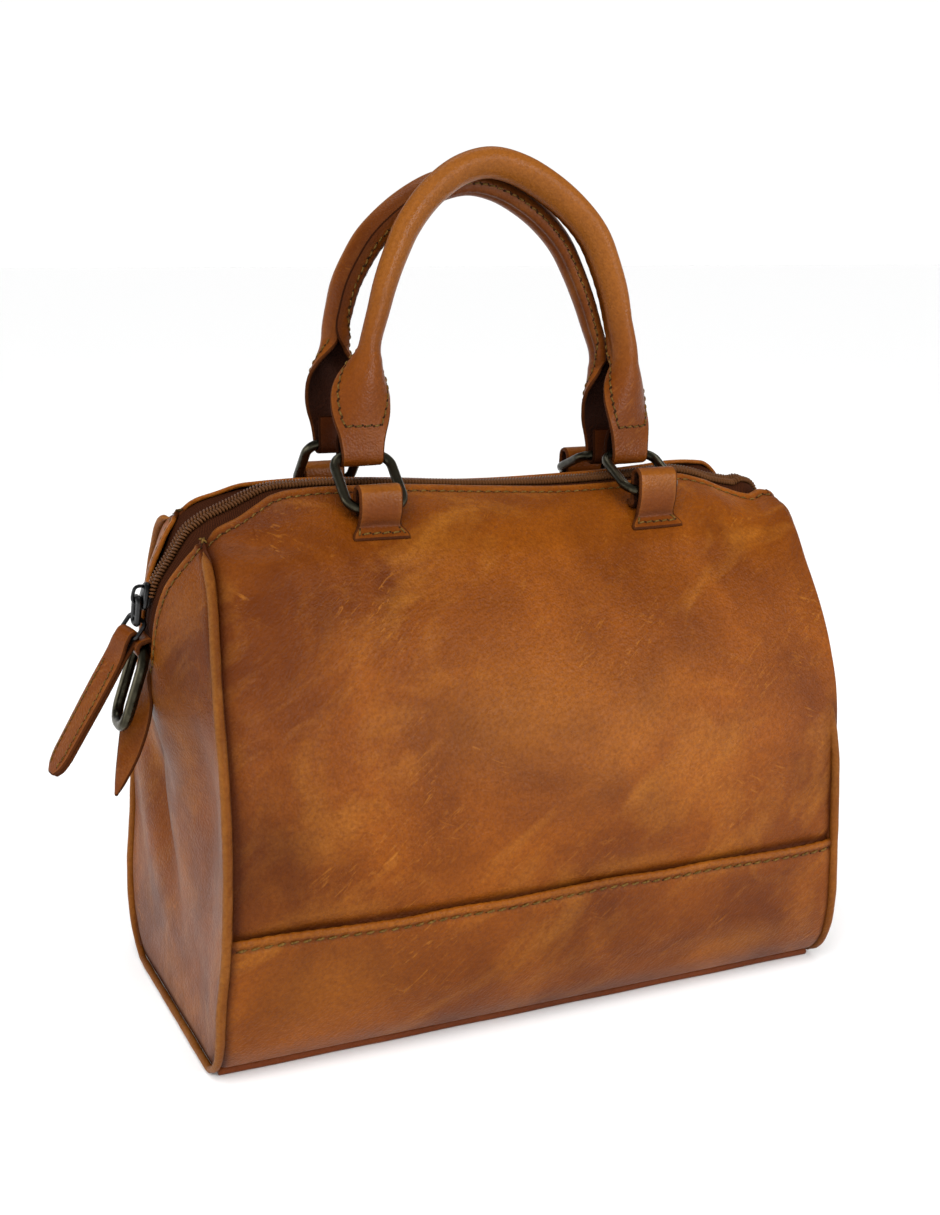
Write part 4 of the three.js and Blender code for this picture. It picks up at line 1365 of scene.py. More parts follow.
GUSSET_PAINTED_SHADE = (
    Fold(33.0, 104.0, 30.0, 10.0, 44.0, 1.0),
    Fold(6.0, 128.0, 26.0, 26.0, 0.0, 0.35),
    Fold(-26.0, 166.0, 18.0, 20.0, 0.0, 0.4),
)
GUSSET_PAINTED_HIGHLIGHT = (Fold(-30.0, 202.0, 16.0, 14.0, 0.0, 0.18),)


# Sub-assemblies


@dataclass
class Maker:
    """What every sub-assembly shares: the form, the finishes and the log of pieces."""

    form: BagForm
    wardrobe: Wardrobe
    leather: float = 2.0

    def finish(
        self,
        skin: Skin,
        name: str,
        finishes: list[Material],
        slot: Slot,
        body: str = "bag",
        replaces: tuple[str, ...] = (),
    ) -> None:
        """Makes a piece, seats it on its body and logs it.

        Args:
            skin: The piece's surfaces.
            name: Its name.
            finishes: Its materials.
            slot: A slot of the imported record; not used.
            body: The body that it rides on.
            replaces: The solids that it stands for.
        """
        piece = skin.make(name, finishes)
        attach(piece, body)
        if replaces:
            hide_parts(*replaces)
        LOG.info("%s: %d points on %s", name, skin.count, body)

    def finish_stitches(self, skin: Skin, name: str, body: str = "bag") -> None:
        """Makes a piece of sewing thread."""
        self.finish(skin, name, [self.wardrobe.thread, self.wardrobe.hole], Slot.STRAP, body)

    def wall(
        self,
        node: str,
        name: str,
        grid: Array,
        sign: float,
        crease: Array,
        rub: Array,
        rolls: int = 4,
        edge_rub: float = 0.0,
    ) -> None:
        """crease: The surface's painted shade mask.

        Args:
            node: The solid that it stands for.
            name: Its name.
            grid: Its outer surface.
            sign: Whether the grid's normals look outward, by sign.
            crease: The surface's crease mask.
            rub: The surface's wear mask.
            rolls: Faces round its rim.
            edge_rub: Wear of its rim.
        """
        order = column_order(sign)
        masks = [np.clip(mask, 0, 1)[:, order] for mask in (crease, rub)]
        skin = Skin()
        skin.shell(grid[:, order], self.leather, *masks, 0, 1, rolls, edge_rub)
        self.finish(skin, name, self.wardrobe.hides("body", "shaded_flesh"), Slot.BODY, replaces=(node,))

    def ribbon(
        self,
        skin: Skin,
        path: Array,
        across: Array,
        half: Array,
        thickness: float,
        outward: Array,
        columns: int = 13,
        crown: float = 0.25,
        inner_paint: int = 2,
    ) -> Array:
        """Adds a leather strap along a path, with dark cut edges and a flesh side painted near-black as
        shade.

        Args:
            skin: Where it goes. Paint 0 is grain side, 1 cut edge, 2 flesh side with painted shade.
            path: Its grain side's middle line.
            across: Its width's direction, one or one per point.
            half: Its half width at each point.
            thickness: Its thickness.
            outward: Roughly where the grain side looks, one direction or one per point.
            columns: Points across it.
            crown: How far its edges fall away.
            inner_paint: The finish of its inside.

        Returns:
            The grain side's grid.
        """
        share = np.linspace(-1.0, 1.0, columns)
        across = np.broadcast_to(across, path.shape)
        outward = np.broadcast_to(outward, path.shape)
        grid = path[:, None, :] + across[:, None, :] * (half[:, None] * share)[:, :, None]
        grid = grid[:, column_order(outward_sign(normals_of(grid), outward[:, None, :]))]
        grid = grid - normals_of(grid) * (crown * share**4)[None, :, None]
        rub = 0.15 * np.abs(share) ** 10
        skin.shell(grid, thickness, 0.0, rub[None, :], 1, inner_paint)
        return grid


@dataclass
class SidePanel(Maker):
    """One long side: the bowed panel, the lower band, the roll along the floor and their stitches."""

    side: Side = Side.FRONT
    columns: int = 190
    rows: int = 120
    band_rows: int = 56
    tuck: float = 2.3
    under_band: float = 5.0
    band_lap: float = 1.3
    band_foot: float = 4.4
    seam_stitch_drop: float = 3.9
    top_stitch_drop: float = 4.2
    roll_radius: float = 2.1
    right_fill: float = 2.6

    def _shares(self) -> Array:
        """Places along the side, closer together at both ends, running under the piping.

        Returns:
            Shares of the half width, from -1 to 1 and a little over.
        """
        even = np.linspace(0.0, 1.0, self.columns)
        eased = even - 0.55 * np.sin(2 * np.pi * even) / (2 * np.pi)
        reach = 1.0 + self.tuck / (self.form.seam_half_width - self.form.piping_seat)
        return (2 * eased - 1) * reach

    def _heights(self, low: float, high: float, rows: int) -> Array:
        """Heights spread evenly over the surface, closer together at both ends.

        Args:
            low: The lowest.
            high: The highest.
            rows: How many.

        Returns:
            The heights.
        """
        fine = np.linspace(low, high, 400)
        arc = arc_of(self.form.side_point(self.side, 0.0, fine))
        even = np.linspace(0.0, 1.0, rows)
        eased = even - 0.5 * np.sin(2 * np.pi * even) / (2 * np.pi)
        return np.interp(eased * arc[-1], arc, fine)

    def build(self) -> None:
        """Builds every piece of this side."""
        threads = Skin()
        self._panel(threads)
        self._band(threads)
        self.finish_stitches(threads, f"{self.side.label}_stitches")

    def _from_edge(self, share: Array, height: Array) -> Array:
        """Distance of places from the piping's line."""
        half = self.form.half_width(height)
        return half - np.abs(share) * (half - self.form.piping_seat)

    def _panel(self, threads: Skin) -> None:
        """Builds the upper panel.

        Args:
            threads: Where its stitches go.
        """
        height = self._heights(self.form.seam_height - self.under_band, self.form.corner_height, self.rows)
        u, h = np.meshgrid(self._shares(), height)
        grid = self.form.side_point(self.side, u, h)
        normal = normals_of(grid)
        sign = outward_sign(normal, self.side.value * DEEP + 0.4 * UP)
        rise = column_arc(grid)
        from_top, over_seam = rise[-1:] - rise, rise - self.under_band
        from_edge = self._from_edge(u, h)
        x = grid[..., 0].copy()
        front = float(self.side is Side.FRONT)
        fill = front * (2.0 * smoothstep(h, 86.0, 150.0) - 1.2 * smoothstep(h, 165.0, 215.0))
        grid[..., 0] += self.right_fill * smoothstep(x, 90.0, 146.0) * fill
        seated = 1.0 - front * smoothstep(x, 120.0, 138.0) * smoothstep(h, 115.0, 155.0)
        lift = (0.5 * hump(from_edge - 9.0, 5.0) - 1.5 * hump(from_edge, 3.2)) * seated
        lift -= 1.3 * hump(over_seam - 0.5, 3.0)
        lift += 0.55 * hump(over_seam - 10.0, 6.0) * (1 + 0.35 * np.sin(x / 17.0 + 0.8))
        lift += -0.32 * hump(from_top - self.top_stitch_drop, 1.3) + 0.25 * hump(from_top - 1.2, 1.5)
        lift += sum_folds(PANEL_FOLDS[self.side], x, grid[..., 2])
        grid = grid + sign * normal * lift[..., None]
        # Painted shade along the piping's edge, in the crease over the band's seam, along the top stitches
        # and in dark patches.
        crease = (0.85 * hump(from_edge - 2.0, 2.6) + 0.3 * smoothstep(from_edge, 12.0, 3.0)) * seated
        crease += 0.95 * hump(over_seam, 2.4) + 0.35 * hump(from_top - self.top_stitch_drop, 1.1)
        crease += sum_folds(PANEL_PAINTED_SHADE, x, grid[..., 2])
        # Paler where worn above the seam and along the top edge, with a paler slanted patch and a painted
        # sheen mid-front.
        rub = 0.3 * hump(over_seam - 7.0, 4.0) * smoothstep(np.sin(x / 23.0), 0.2, 1.0)
        rub += 0.25 * hump(from_top - 0.6, 1.4) + sum_folds(PANEL_PALE_PATCH_AND_SHEEN, x, grid[..., 2])
        node = f"{self.side.label}_panel"
        self.wall(node, f"{node}_leather", grid, sign, crease, rub)
        top_stitch = Stitch(pitch=4.6, length=3.5, radius=0.42)
        top_stitch.sew_level(threads, grid, sign * normal, -from_top, -self.top_stitch_drop, 3.0)

    def _band(self, threads: Skin) -> None:
        """Builds the lower band and the roll under it.

        Args:
            threads: Where its stitches go.
        """
        height = self._heights(self.band_foot, self.form.seam_height, self.band_rows)
        u, h = np.meshgrid(self._shares(), height)
        grid = self.form.side_point(self.side, u, h, self.band_lap)
        wave = 0.7 * np.sin(grid[..., 0] / 33.0 + 0.6) + 0.35 * np.sin(grid[..., 0] / 11.0)
        grid[..., 2] += wave * smoothstep(h, self.form.seam_height - 9.0, self.form.seam_height)
        normal = normals_of(grid)
        sign = outward_sign(normal, self.side.value * DEEP)
        x, z = grid[..., 0], grid[..., 2]
        rise = column_arc(grid)
        from_top, from_edge = rise[-1:] - rise, self._from_edge(u, h)
        lift = -1.6 * hump(from_edge, 3.0)
        lift += -0.6 * hump(from_top - self.seam_stitch_drop, 1.1) + 0.75 * hump(from_top - 1.3, 1.7)
        lift += 0.22 * np.sin(x / 0.9) * hump(from_top - 1.6, 2.2)
        lift += 0.3 * np.sin(x / 6.7) * hump(from_top, 5.0)
        lift += 0.4 * hump(from_top - 9.0, 4.0) * (1 + 0.5 * np.sin(x / 13.0))
        lift += sum_folds(BAND_FOLDS, x, z) - 0.8 * hump(rise, 2.5)
        grid = grid + sign * normal * lift[..., None]
        # Painted shade along the piping's edge, at the seam stitches, along the bottom, towards the floor and
        # in a patch mid-band.
        crease = 0.85 * hump(from_edge - 2.0, 2.4) + 0.45 * hump(from_top - self.seam_stitch_drop, 1.0)
        crease += 0.5 * hump(rise, 3.0) + 0.22 * smoothstep(z, 22.0, 6.0)
        crease += sum_folds(BAND_PAINTED_SHADE, x, z)
        rub = 0.3 * hump(from_top - 1.0, 1.2) + sum_folds(BAND_PALE_PATCHES, x, z)
        name = self.side.label
        self.wall(f"{name}_lower_band", f"{name}_band_leather", grid, sign, crease, rub, 5, 0.2)
        seam_stitch = Stitch(pitch=5.6, length=4.5, radius=0.58, slant=13.0)
        seam_stitch.sew_level(threads, grid, sign * normal, -from_top, -self.seam_stitch_drop, 4.0)
        roll = Skin()
        run = np.linspace(-1.0, 1.0, 160)
        path = self.form.side_point(self.side, run, np.full_like(run, self.form.floor_line), 1.6)
        path[:, 2] = self.roll_radius + 0.25 + 0.12 * np.sin(path[:, 0] / 9.0)
        roll.tube(path, self.roll_radius, 12, UP, 1.15, rub=0.12)
        self.finish(roll, f"{name}_floor_roll", self.wardrobe.hides("seam"), Slot.BODY)


@dataclass
class EndGusset(Maker):
    """One short end: the gusset with its zip slot, the piping round it, the strap tab and its ring."""

    end: End = End.LEFT
    around: int = 220
    deep: int = 64
    top: float = 227.4
    slot_foot: float = 173.0
    knot_place: tuple[float, float, float] = (142.6, 20.4, 227.8)
    knot_drop: float = 0.8
    bottom: float = 4.2
    tuck: float = 1.2
    piping_radius: float = 2.15
    piping_dive: tuple[float, float] = (112.0, 165.0)
    dive_out: float = 0.6
    dive_back: float = 4.6
    stitch_inset: float = 4.0
    tail_turn: float = 42.0
    ring_turn: float = 2.0
    ring_lean: float = 18.0
    strap_bar: tuple[float, float] = (165.6, 179.0)
    strap_loop: float = 4.6
    strap_leather: float = 1.9
    strap_stitch_row: int = 7

    def build(self) -> None:
        """Builds every piece of this end."""
        self._gusset()
        self._piping()
        self._strap()

    def _outlines(self) -> tuple[Array, Array]:
        """The slot's edge and the gusset's edge, each from the front's top down and up the back.

        Returns:
            Two rows of places in the YZ plane.
        """
        high = np.linspace(self.top, self.slot_foot, 70)
        slot = self.form.tables["slot"](high)
        bend = np.linspace(np.pi, 2 * np.pi, 24)[1:-1]
        foot = np.stack([slot[-1] * np.cos(bend), self.slot_foot + 3.5 * np.sin(bend)], axis=1)
        inner = np.vstack([np.stack([-slot, high], 1), foot, np.stack([slot, high], 1)[::-1]])
        down = np.linspace(self.form.corner_height - 0.3, self.form.floor_line + 0.2, 300)
        edges = []
        for side in Side:
            line = np.stack([side.value * self.form.depth(side, down), down], axis=1)
            run = unit(np.gradient(line, axis=0))
            inward = np.stack([run[:, 1], -run[:, 0]], axis=1) * side.value
            line = line + inward * self.tuck
            edges.append(line[line[:, 1] > self.bottom])
        front, back = edges
        floor = np.linspace(front[-1, 0], back[-1, 0], 60)[1:-1]
        floor = np.stack([floor, np.full_like(floor, self.bottom)], axis=1)
        outer = np.vstack([front, floor, back[::-1]])
        return self._even(inner), self._even(outer)

    def _even(self, line: Array) -> Array:
        """A flat line read at even distances.

        Args:
            line: Its points.

        Returns:
            As many points as the gusset has round it.
        """
        arc = arc_of(line)
        at = np.linspace(0.0, arc[-1], self.around)
        return np.stack([np.interp(at, arc, column) for column in line.T], axis=1)

    def _gusset(self) -> None:
        """Builds the gusset and its stitches."""
        inner, outer = self._outlines()
        share = np.linspace(0.0, 1.0, self.deep)
        share = (share - 0.45 * np.sin(2 * np.pi * share) / (2 * np.pi))[:, None, None]
        flat = inner[None] * (1 - share) + outer[None] * share
        y, z = flat[..., 0], flat[..., 1]
        x = self.end.value * self.form.gusset_out(y, z)
        if self.end is End.LEFT:
            forward = -y / self.form.gusset_reach(Side.FRONT, z)
            x = x - self.form.left_fill(z) * smoothstep(forward, 0.45, 1.0)
        grid = np.stack([x, y, z + self.form.corner_lift(self.end, y, z)], axis=-1)
        normal = normals_of(grid)
        sign = outward_sign(normal, self.end.value * WIDE)
        from_edge = column_arc(grid[::-1])[::-1]
        from_slot = from_edge[:1] - from_edge
        lift = -1.2 * hump(from_edge, 3.0) + 0.4 * hump(from_edge - 8.0, 4.0)
        lift += -0.35 * hump(from_slot - self.stitch_inset, 1.3) + 0.3 * hump(from_slot - 1.2, 1.4)
        lift += sum_folds(GUSSET_FOLDS, y, z)
        grid = grid + sign * normal * lift[..., None]
        # Painted shade along the piping's edge, at the slot stitches and in patches about the fold.
        crease = 0.8 * hump(from_edge - 1.5, 2.6) + 0.35 * hump(from_slot - self.stitch_inset, 1.2)
        crease += 0.35 * smoothstep(from_edge, 16.0, 3.0) + sum_folds(GUSSET_PAINTED_SHADE, y, z)
        # Paler where worn along the slot, with a painted highlight high at the front.
        rub = 0.3 * hump(from_slot - 0.6, 1.3) + sum_folds(GUSSET_PAINTED_HIGHLIGHT, y, z)
        node = f"{self.end.label}_gusset"
        self.wall(node, f"{node}_leather", grid, sign, crease, rub)
        threads = Skin()
        slot_stitch = Stitch(pitch=4.8, length=3.6, radius=0.42)
        slot_stitch.sew_level(threads, grid, sign * normal, from_slot, self.stitch_inset, 2.0, 300)
        self._knots(threads)
        self.finish_stitches(threads, f"{self.end.label}_slot_stitches")

    def _knots(self, threads: Skin) -> None:
        """Adds two crossed stitches at each upper corner.

        Args:
            threads: Where they go.
        """
        knot = Stitch(pitch=5.0, length=4.6, radius=0.55, lift=0.7)
        out, deep, high = self.knot_place
        sign = self.end.value
        for side, slope in ((s, t) for s in Side for t in (-0.9, 0.9)):
            lift = float(self.form.edge_lift(side, sign * self.form.corner_x))
            middle = np.array([sign * out, side.value * deep, high - self.knot_drop * sign + lift])
            reach = np.array([sign * slope, side.value, -0.6]) * 1.7
            knot.sew(threads, np.array([middle - reach, middle + reach]), np.tile(UP, (2, 1)))

    def _piping(self) -> None:
        """Builds the piping, down the front's edge, along the floor and up the back's."""
        heights = np.array([226.5, 220, 208, 190, 168, 142, 115, 88, 62, 40, 24, 13, 7, 4.2, 2.9])
        floor = np.array([-50.0, -18.0, 18.0, 53.0])

        def edge(side: Side) -> Array:
            """One upright edge, from its top down.

            Args:
                side: Front or back.

            Returns:
                Its points.
            """
            x = self.end.value * self.form.half_width(heights)
            depth = self.form.depth(side, heights)
            if side is Side.FRONT and self.end is End.LEFT:
                x = x - self.form.left_fill(heights)
            if side is Side.FRONT and self.end is End.RIGHT:
                hidden = smoothstep(heights, *self.piping_dive)
                x, depth = x + self.dive_out * hidden, depth - self.dive_back * hidden
            y = side.value * depth
            return np.stack([x, y, heights + self.form.corner_lift(self.end, y, heights)], axis=1)

        foot = np.full(4, self.end.value * self.form.floor_half_width)
        along = np.stack([foot, floor, np.full(4, self.form.floor_line)], axis=1)
        path = smooth_path(np.vstack([edge(Side.FRONT), along, edge(Side.BACK)[::-1]]), 420)
        run = arc_of(path)
        radius = self.piping_radius * (1 + 0.025 * np.sin(run / 6.1) + 0.02 * np.sin(run / 2.7 + 1.0))
        ends = np.minimum(run, run[-1] - run)
        radius *= 0.2 + 0.8 * smoothstep(ends, 0.0, 14.0)
        radius *= 1.0 - 0.22 * smoothstep(26.0 - path[:, 2], 0.0, 22.0)
        path[:, 2] -= 1.8 * (1.0 - smoothstep(ends, 0.0, 9.0))
        path[:, 0] -= self.end.value * 1.2 * (1.0 - smoothstep(ends, 0.0, 9.0))
        path[:, 2] = np.maximum(path[:, 2], radius + 0.05)
        skin = Skin()
        skin.tube(path, radius, 16, np.array([self.end.value, -0.8, 0.0]), rub=0.3)
        node = f"{self.end.label}_piping"
        self.finish(skin, f"{node}_cord", self.wardrobe.hides("piping"), Slot.PIPING, replaces=(node,))

    def _strap(self) -> None:
        """Builds the strap tab with its stitches and its ring."""
        (bar_out, bar_height), loop, sign = self.strap_bar, self.strap_loop, self.end.value
        turns = np.radians([90, 45, 0, -45, -90, -120])
        wrap = [(bar_out + loop * math.cos(t), bar_height + loop * math.sin(t), 7.2) for t in turns]
        rows = np.vstack([STRAP_START, wrap, STRAP_TAIL])
        rows = np.stack([sign * rows[:, 0], np.zeros(len(rows)), rows[:, 1], rows[:, 2]], axis=1)
        line = smooth_path(rows, 120)
        path, half = line[:, :3], line[:, 3]
        tangent = np.gradient(path, axis=0)
        outward = unit(np.cross(DEEP, tangent))
        outward = outward * (-1 if outward[0, 2] < 0 else 1)
        skin = Skin()
        turn = math.radians(self.tail_turn) * smoothstep(arc_of(path), 24.0, 62.0)
        across = np.outer(np.cos(turn), DEEP) + np.outer(np.sin(turn), sign * WIDE)
        grid = self.ribbon(skin, path, across, half, self.strap_leather, outward)
        node = f"{self.end.label}_strap_tab"
        finishes = self.wardrobe.hides("strap", "edge", "strap")
        self.finish(skin, f"{node}_leather", finishes, Slot.STRAP, replaces=(node,))
        threads = Skin()
        row = (self.strap_stitch_row, slice(2, -2))
        Stitch(pitch=3.2, length=2.4, radius=0.36).sew(threads, grid[row], normals_of(grid)[row])
        self.finish_stitches(threads, f"{self.end.label}_strap_stitches")
        lean, turned = math.radians(self.ring_lean), math.radians(self.ring_turn)
        place = np.array([sign * bar_out, 0.0, bar_height])
        fall = np.array([sign * math.sin(lean), 0.0, -math.cos(lean)])
        across = math.cos(turned) * DEEP - math.sin(turned) * sign * WIDE
        ring = Skin()
        add_link(ring, place, across, unit(fall - across * np.dot(fall, across)), Link(10.4, 36.0, 8.4, 2.5))
        node = f"{self.end.label}_strap_ring"
        self.finish(ring, f"{node}_metal", [self.wardrobe.ring], Slot.METAL, replaces=(node,))


@dataclass(frozen=True)
class Link:
    """A wire link: a rounded rectangle whose first bar lies at its start."""

    half_width: float
    reach: float
    corner: float
    wire: float
    sides: int = 16
    bend_steps: int = 9
    straight_steps: int = 5


def add_link(skin: Skin, place: Array, across: Array, reach: Array, link: Link) -> None:
    """Adds a wire link.

    Args:
        skin: Where it goes.
        place: The middle of its first bar.
        across: The direction of its bars.
        reach: The direction from its first bar to the other.
        link: Its sizes.
    """
    inset_x, inset_z = link.half_width - link.corner, link.reach - link.corner
    corners = (
        (inset_x, link.corner, -90.0),
        (inset_x, inset_z, 0.0),
        (-inset_x, inset_z, 90.0),
        (-inset_x, link.corner, 180.0),
    )
    flat: list[tuple[float, float]] = []
    for x, z, start in corners:
        for turn in np.radians(np.linspace(start, start + 90.0, link.bend_steps)):
            flat.append((x + link.corner * math.cos(turn), z + link.corner * math.sin(turn)))
        ahead = corners[(corners.index((x, z, start)) + 1) % 4]
        turn = math.radians(start + 90.0)
        end = (ahead[0] + link.corner * math.cos(turn), ahead[1] + link.corner * math.sin(turn))
        here = flat[-1]
        for step in np.linspace(0.0, 1.0, link.straight_steps + 2)[1:-1]:
            flat.append((here[0] + (end[0] - here[0]) * step, here[1] + (end[1] - here[1]) * step))
    path = place + np.outer([p[0] for p in flat], across) + np.outer([p[1] for p in flat], reach)
    skin.tube(path, link.wire, link.sides, np.cross(across, reach), loop=True, rub=0.35)


@dataclass
class BasePanel(Maker):
    """The flat panel that the bag stands on."""

    half_length: float = 153.4
    front: float = 58.5
    back: float = 62.0
    seam_inset: float = 6.0
    columns: int = 80
    rows: int = 34

    def build(self) -> None:
        """Builds the base."""
        x = np.linspace(-self.half_length + 1.0, self.half_length - 1.0, self.columns)
        y = np.linspace(-self.front + 1.0, self.back - 1.0, self.rows)
        u, v = np.meshgrid(x, y)
        inset = np.minimum(self.half_length - np.abs(u), np.minimum(v + self.front, self.back - v))
        seam = 0.5 * hump(inset - self.seam_inset, 1.4)
        grid = np.stack([u, v, 0.02 + seam], axis=-1)
        # Painted shade in the seam and along the edge.
        crease = seam + 0.3 * smoothstep(inset, self.seam_inset, 0.0)
        rub = 0.15 * smoothstep(inset, 14.0, 30.0)
        self.wall("base_panel", "base_leather", grid, outward_sign(normals_of(grid), -UP), crease, rub)


@dataclass
class Zip(Maker):
    """The zip: its two tapes, the coil's teeth, the slider, the link, the wire ring and the leather pull."""

    stations: int = 360
    tape_thickness: float = 0.8
    tape_reach: float = 22.0
    tape_slit: float = 0.5
    tooth_pitch: float = 1.55
    tooth_half: tuple[float, float, float] = (2.5, 0.64, 1.5)
    tooth_offset: float = 2.3
    tooth_rings: int = 7
    tooth_sides: int = 8
    slider_place: tuple[float, float, float] = (-162.0, 0.0, 201.0)
    slider_tilt: float = 13.6
    slider_sides: int = 48
    pull_turn: tuple[float, float] = (66.0, 78.0)

    def build(self) -> None:
        """Builds every piece of the zip."""
        for side in Side:
            self._tape(side)
        self._teeth()
        self._slider()
        self._pull()

    def _tape(self, side: Side) -> None:
        """Builds one tape.

        Args:
            side: Which side of the coil it lies on.
        """
        path, out, half = self.form.zip_path(self.stations, self.form.tape_drop, True)
        edge = np.minimum(half + 1.4, self.tape_reach)
        share = np.linspace(0.0, 1.0, 14)
        slew = self.form.zip_slew(path[:, 0])[:, None]
        first = slew + side.value * self.tape_slit
        y = first + (side.value * edge[:, None] - first) * share[None, :]
        dip = 2.0 * smoothstep(np.abs(y - slew), 4.0, 9.0)
        grid = path[:, None, :] + np.stack([np.zeros_like(y), y, np.zeros_like(y)], axis=-1)
        grid = grid - out[:, None, :] * dip[..., None]
        grid[..., 2] += self.form.zip_tilt(path[:, 0])[:, None] * y
        run = np.broadcast_to((arc_of(path) * MM)[:, None], y.shape)
        order = column_order(outward_sign(normals_of(grid), out[:, None, :]))
        skin = Skin()
        skin.shell(grid[:, order], self.tape_thickness, run[:, order], (y * MM)[:, order])
        node = f"{side.label}_zip_tape"
        self.finish(skin, f"{side.label}_tape_weave", [self.wardrobe.tape], Slot.TAPE, replaces=(node,))

    def _teeth(self) -> None:
        """Builds the two rows of teeth, each a slanted bead."""
        path, out, _ = self.form.zip_path(1600, self.form.coil_drop)
        total = arc_of(path)[-1]
        count = int(total / self.tooth_pitch)
        step = np.linspace(-1.0, 1.0, self.tooth_rings)
        girth = np.sqrt(np.maximum(1 - np.abs(step) ** 2.6, 0.03))
        turn = turns_of(self.tooth_sides)
        long, broad, high = self.tooth_half
        ahead = np.repeat(step * long, self.tooth_sides)
        aside = broad * np.outer(girth, np.cos(turn)).ravel()
        above = high * np.outer(girth, np.sin(turn)).ravel() + 0.3
        faces = capped_faces(self.tooth_rings, self.tooth_sides)
        skin = Skin()
        for sign, shift in ((-1.0, 0.25), (1.0, 0.75)):
            at = (np.arange(count) + shift) * self.tooth_pitch
            rows = along_path(np.hstack([path, out]), np.clip(at, 0, total))
            rows = rows[(rows[:, 0] > 0) | (rows[:, 2] > self.slider_place[2])]
            level = DEEP + np.outer(self.form.zip_tilt(rows[:, 0]), UP)
            rows[:, :3] += self.form.zip_slew(rows[:, 0])[:, None] * level
            level = unit(level)
            along = np.cross(DEEP, unit(rows[:, 3:]))
            lift = unit(np.cross(along, level))
            reach = unit(sign * level + 0.22 * along)
            wide = np.cross(reach, lift)
            middle = rows[:, :3] + sign * self.tooth_offset * level
            skin.repeat(spread_out(middle, (reach, ahead), (wide, aside), (lift, above)), faces)
        self.finish(skin, "zip_teeth", [self.wardrobe.coil], Slot.COIL, replaces=("zip_coil",))

    def _slider_axes(self) -> tuple[Array, Array, Array]:
        """The slider's place, its direction up along the zip and its direction out of the bag.

        Returns:
            A point and two directions.
        """
        tilt = math.radians(self.slider_tilt)
        up = np.array([math.sin(tilt), 0.0, math.cos(tilt)])
        return np.array(self.slider_place), up, np.array([-math.cos(tilt), 0.0, math.sin(tilt)])

    def _slider(self) -> None:
        """Builds the slider: a waisted plate with rounded edges and a bridge over it."""
        place, up, out = self._slider_axes()
        turn = turns_of(self.slider_sides)
        long, wide = blunt(np.cos(turn)), blunt(np.sin(turn))
        waist = 4.5 - 1.0 * long
        rings = []
        for share, lift in ((0.86, 0.35), (1.0, 0.9), (1.0, 2.2), (0.9, 2.9), (0.6, 3.15), (0.02, 3.2)):
            ring = np.outer(6.0 * share * long, up) + np.outer(waist * share * wide, DEEP)
            rings.append(place + ring + out * lift)
        skin = Skin()
        faces = grid_faces(len(rings), self.slider_sides, loop_columns=True)
        floor = np.array([[0, i, i + 1, i + 1] for i in range(1, self.slider_sides - 1)])
        skin.add(np.concatenate(rings), np.concatenate([faces, floor])[:, ::-1], 0, 0.0, 0.0)
        bend = np.radians(np.linspace(180.0, 0.0, 24))
        path = place + np.outer(4.0 * blunt(np.cos(bend)), up)
        path = path + np.outer(4.0 * np.sin(bend) ** 0.7 + 2.9, out)
        skin.tube(path, 0.95, 12, DEEP, 0.8, rub=0.5)
        self.finish(skin, "zip_slider_metal", [self.wardrobe.black], Slot.METAL, replaces=("zip_slider",))

    def _pull(self) -> None:
        """Builds the link, the wire ring and the folded leather pull, each hung on the one before."""
        place, up, out = self._slider_axes()
        eye = place - 1.5 * up + 4.7 * out

        def fall(lean: float) -> Array:
            """The direction of something that hangs, leaning out from the left end."""
            return np.array([-math.sin(math.radians(lean)), 0.0, -math.cos(math.radians(lean))])

        link = Skin()
        add_link(link, eye, DEEP, fall(6.0), Link(3.7, 11.0, 2.0, 1.45, 12))
        self.finish(link, "zip_link_metal", [self.wardrobe.black], Slot.METAL, replaces=("zip_pull_link",))
        start = eye + 11.0 * fall(6.0) - 2.4 * fall(36.0)
        wire = Skin()
        turn = math.radians(self.pull_turn[0])
        bar = np.cross(DEEP, fall(36.0)) * math.cos(turn) + DEEP * math.sin(turn)
        add_link(wire, start, bar, fall(36.0), Link(5.8, 8.6, 2.0, 0.95, 10))
        self.finish(wire, "zip_wire_ring", [self.wardrobe.black], Slot.METAL, replaces=("zip_pull_ring",))
        self._pull_leather(start + 8.6 * fall(36.0), fall(30.5))

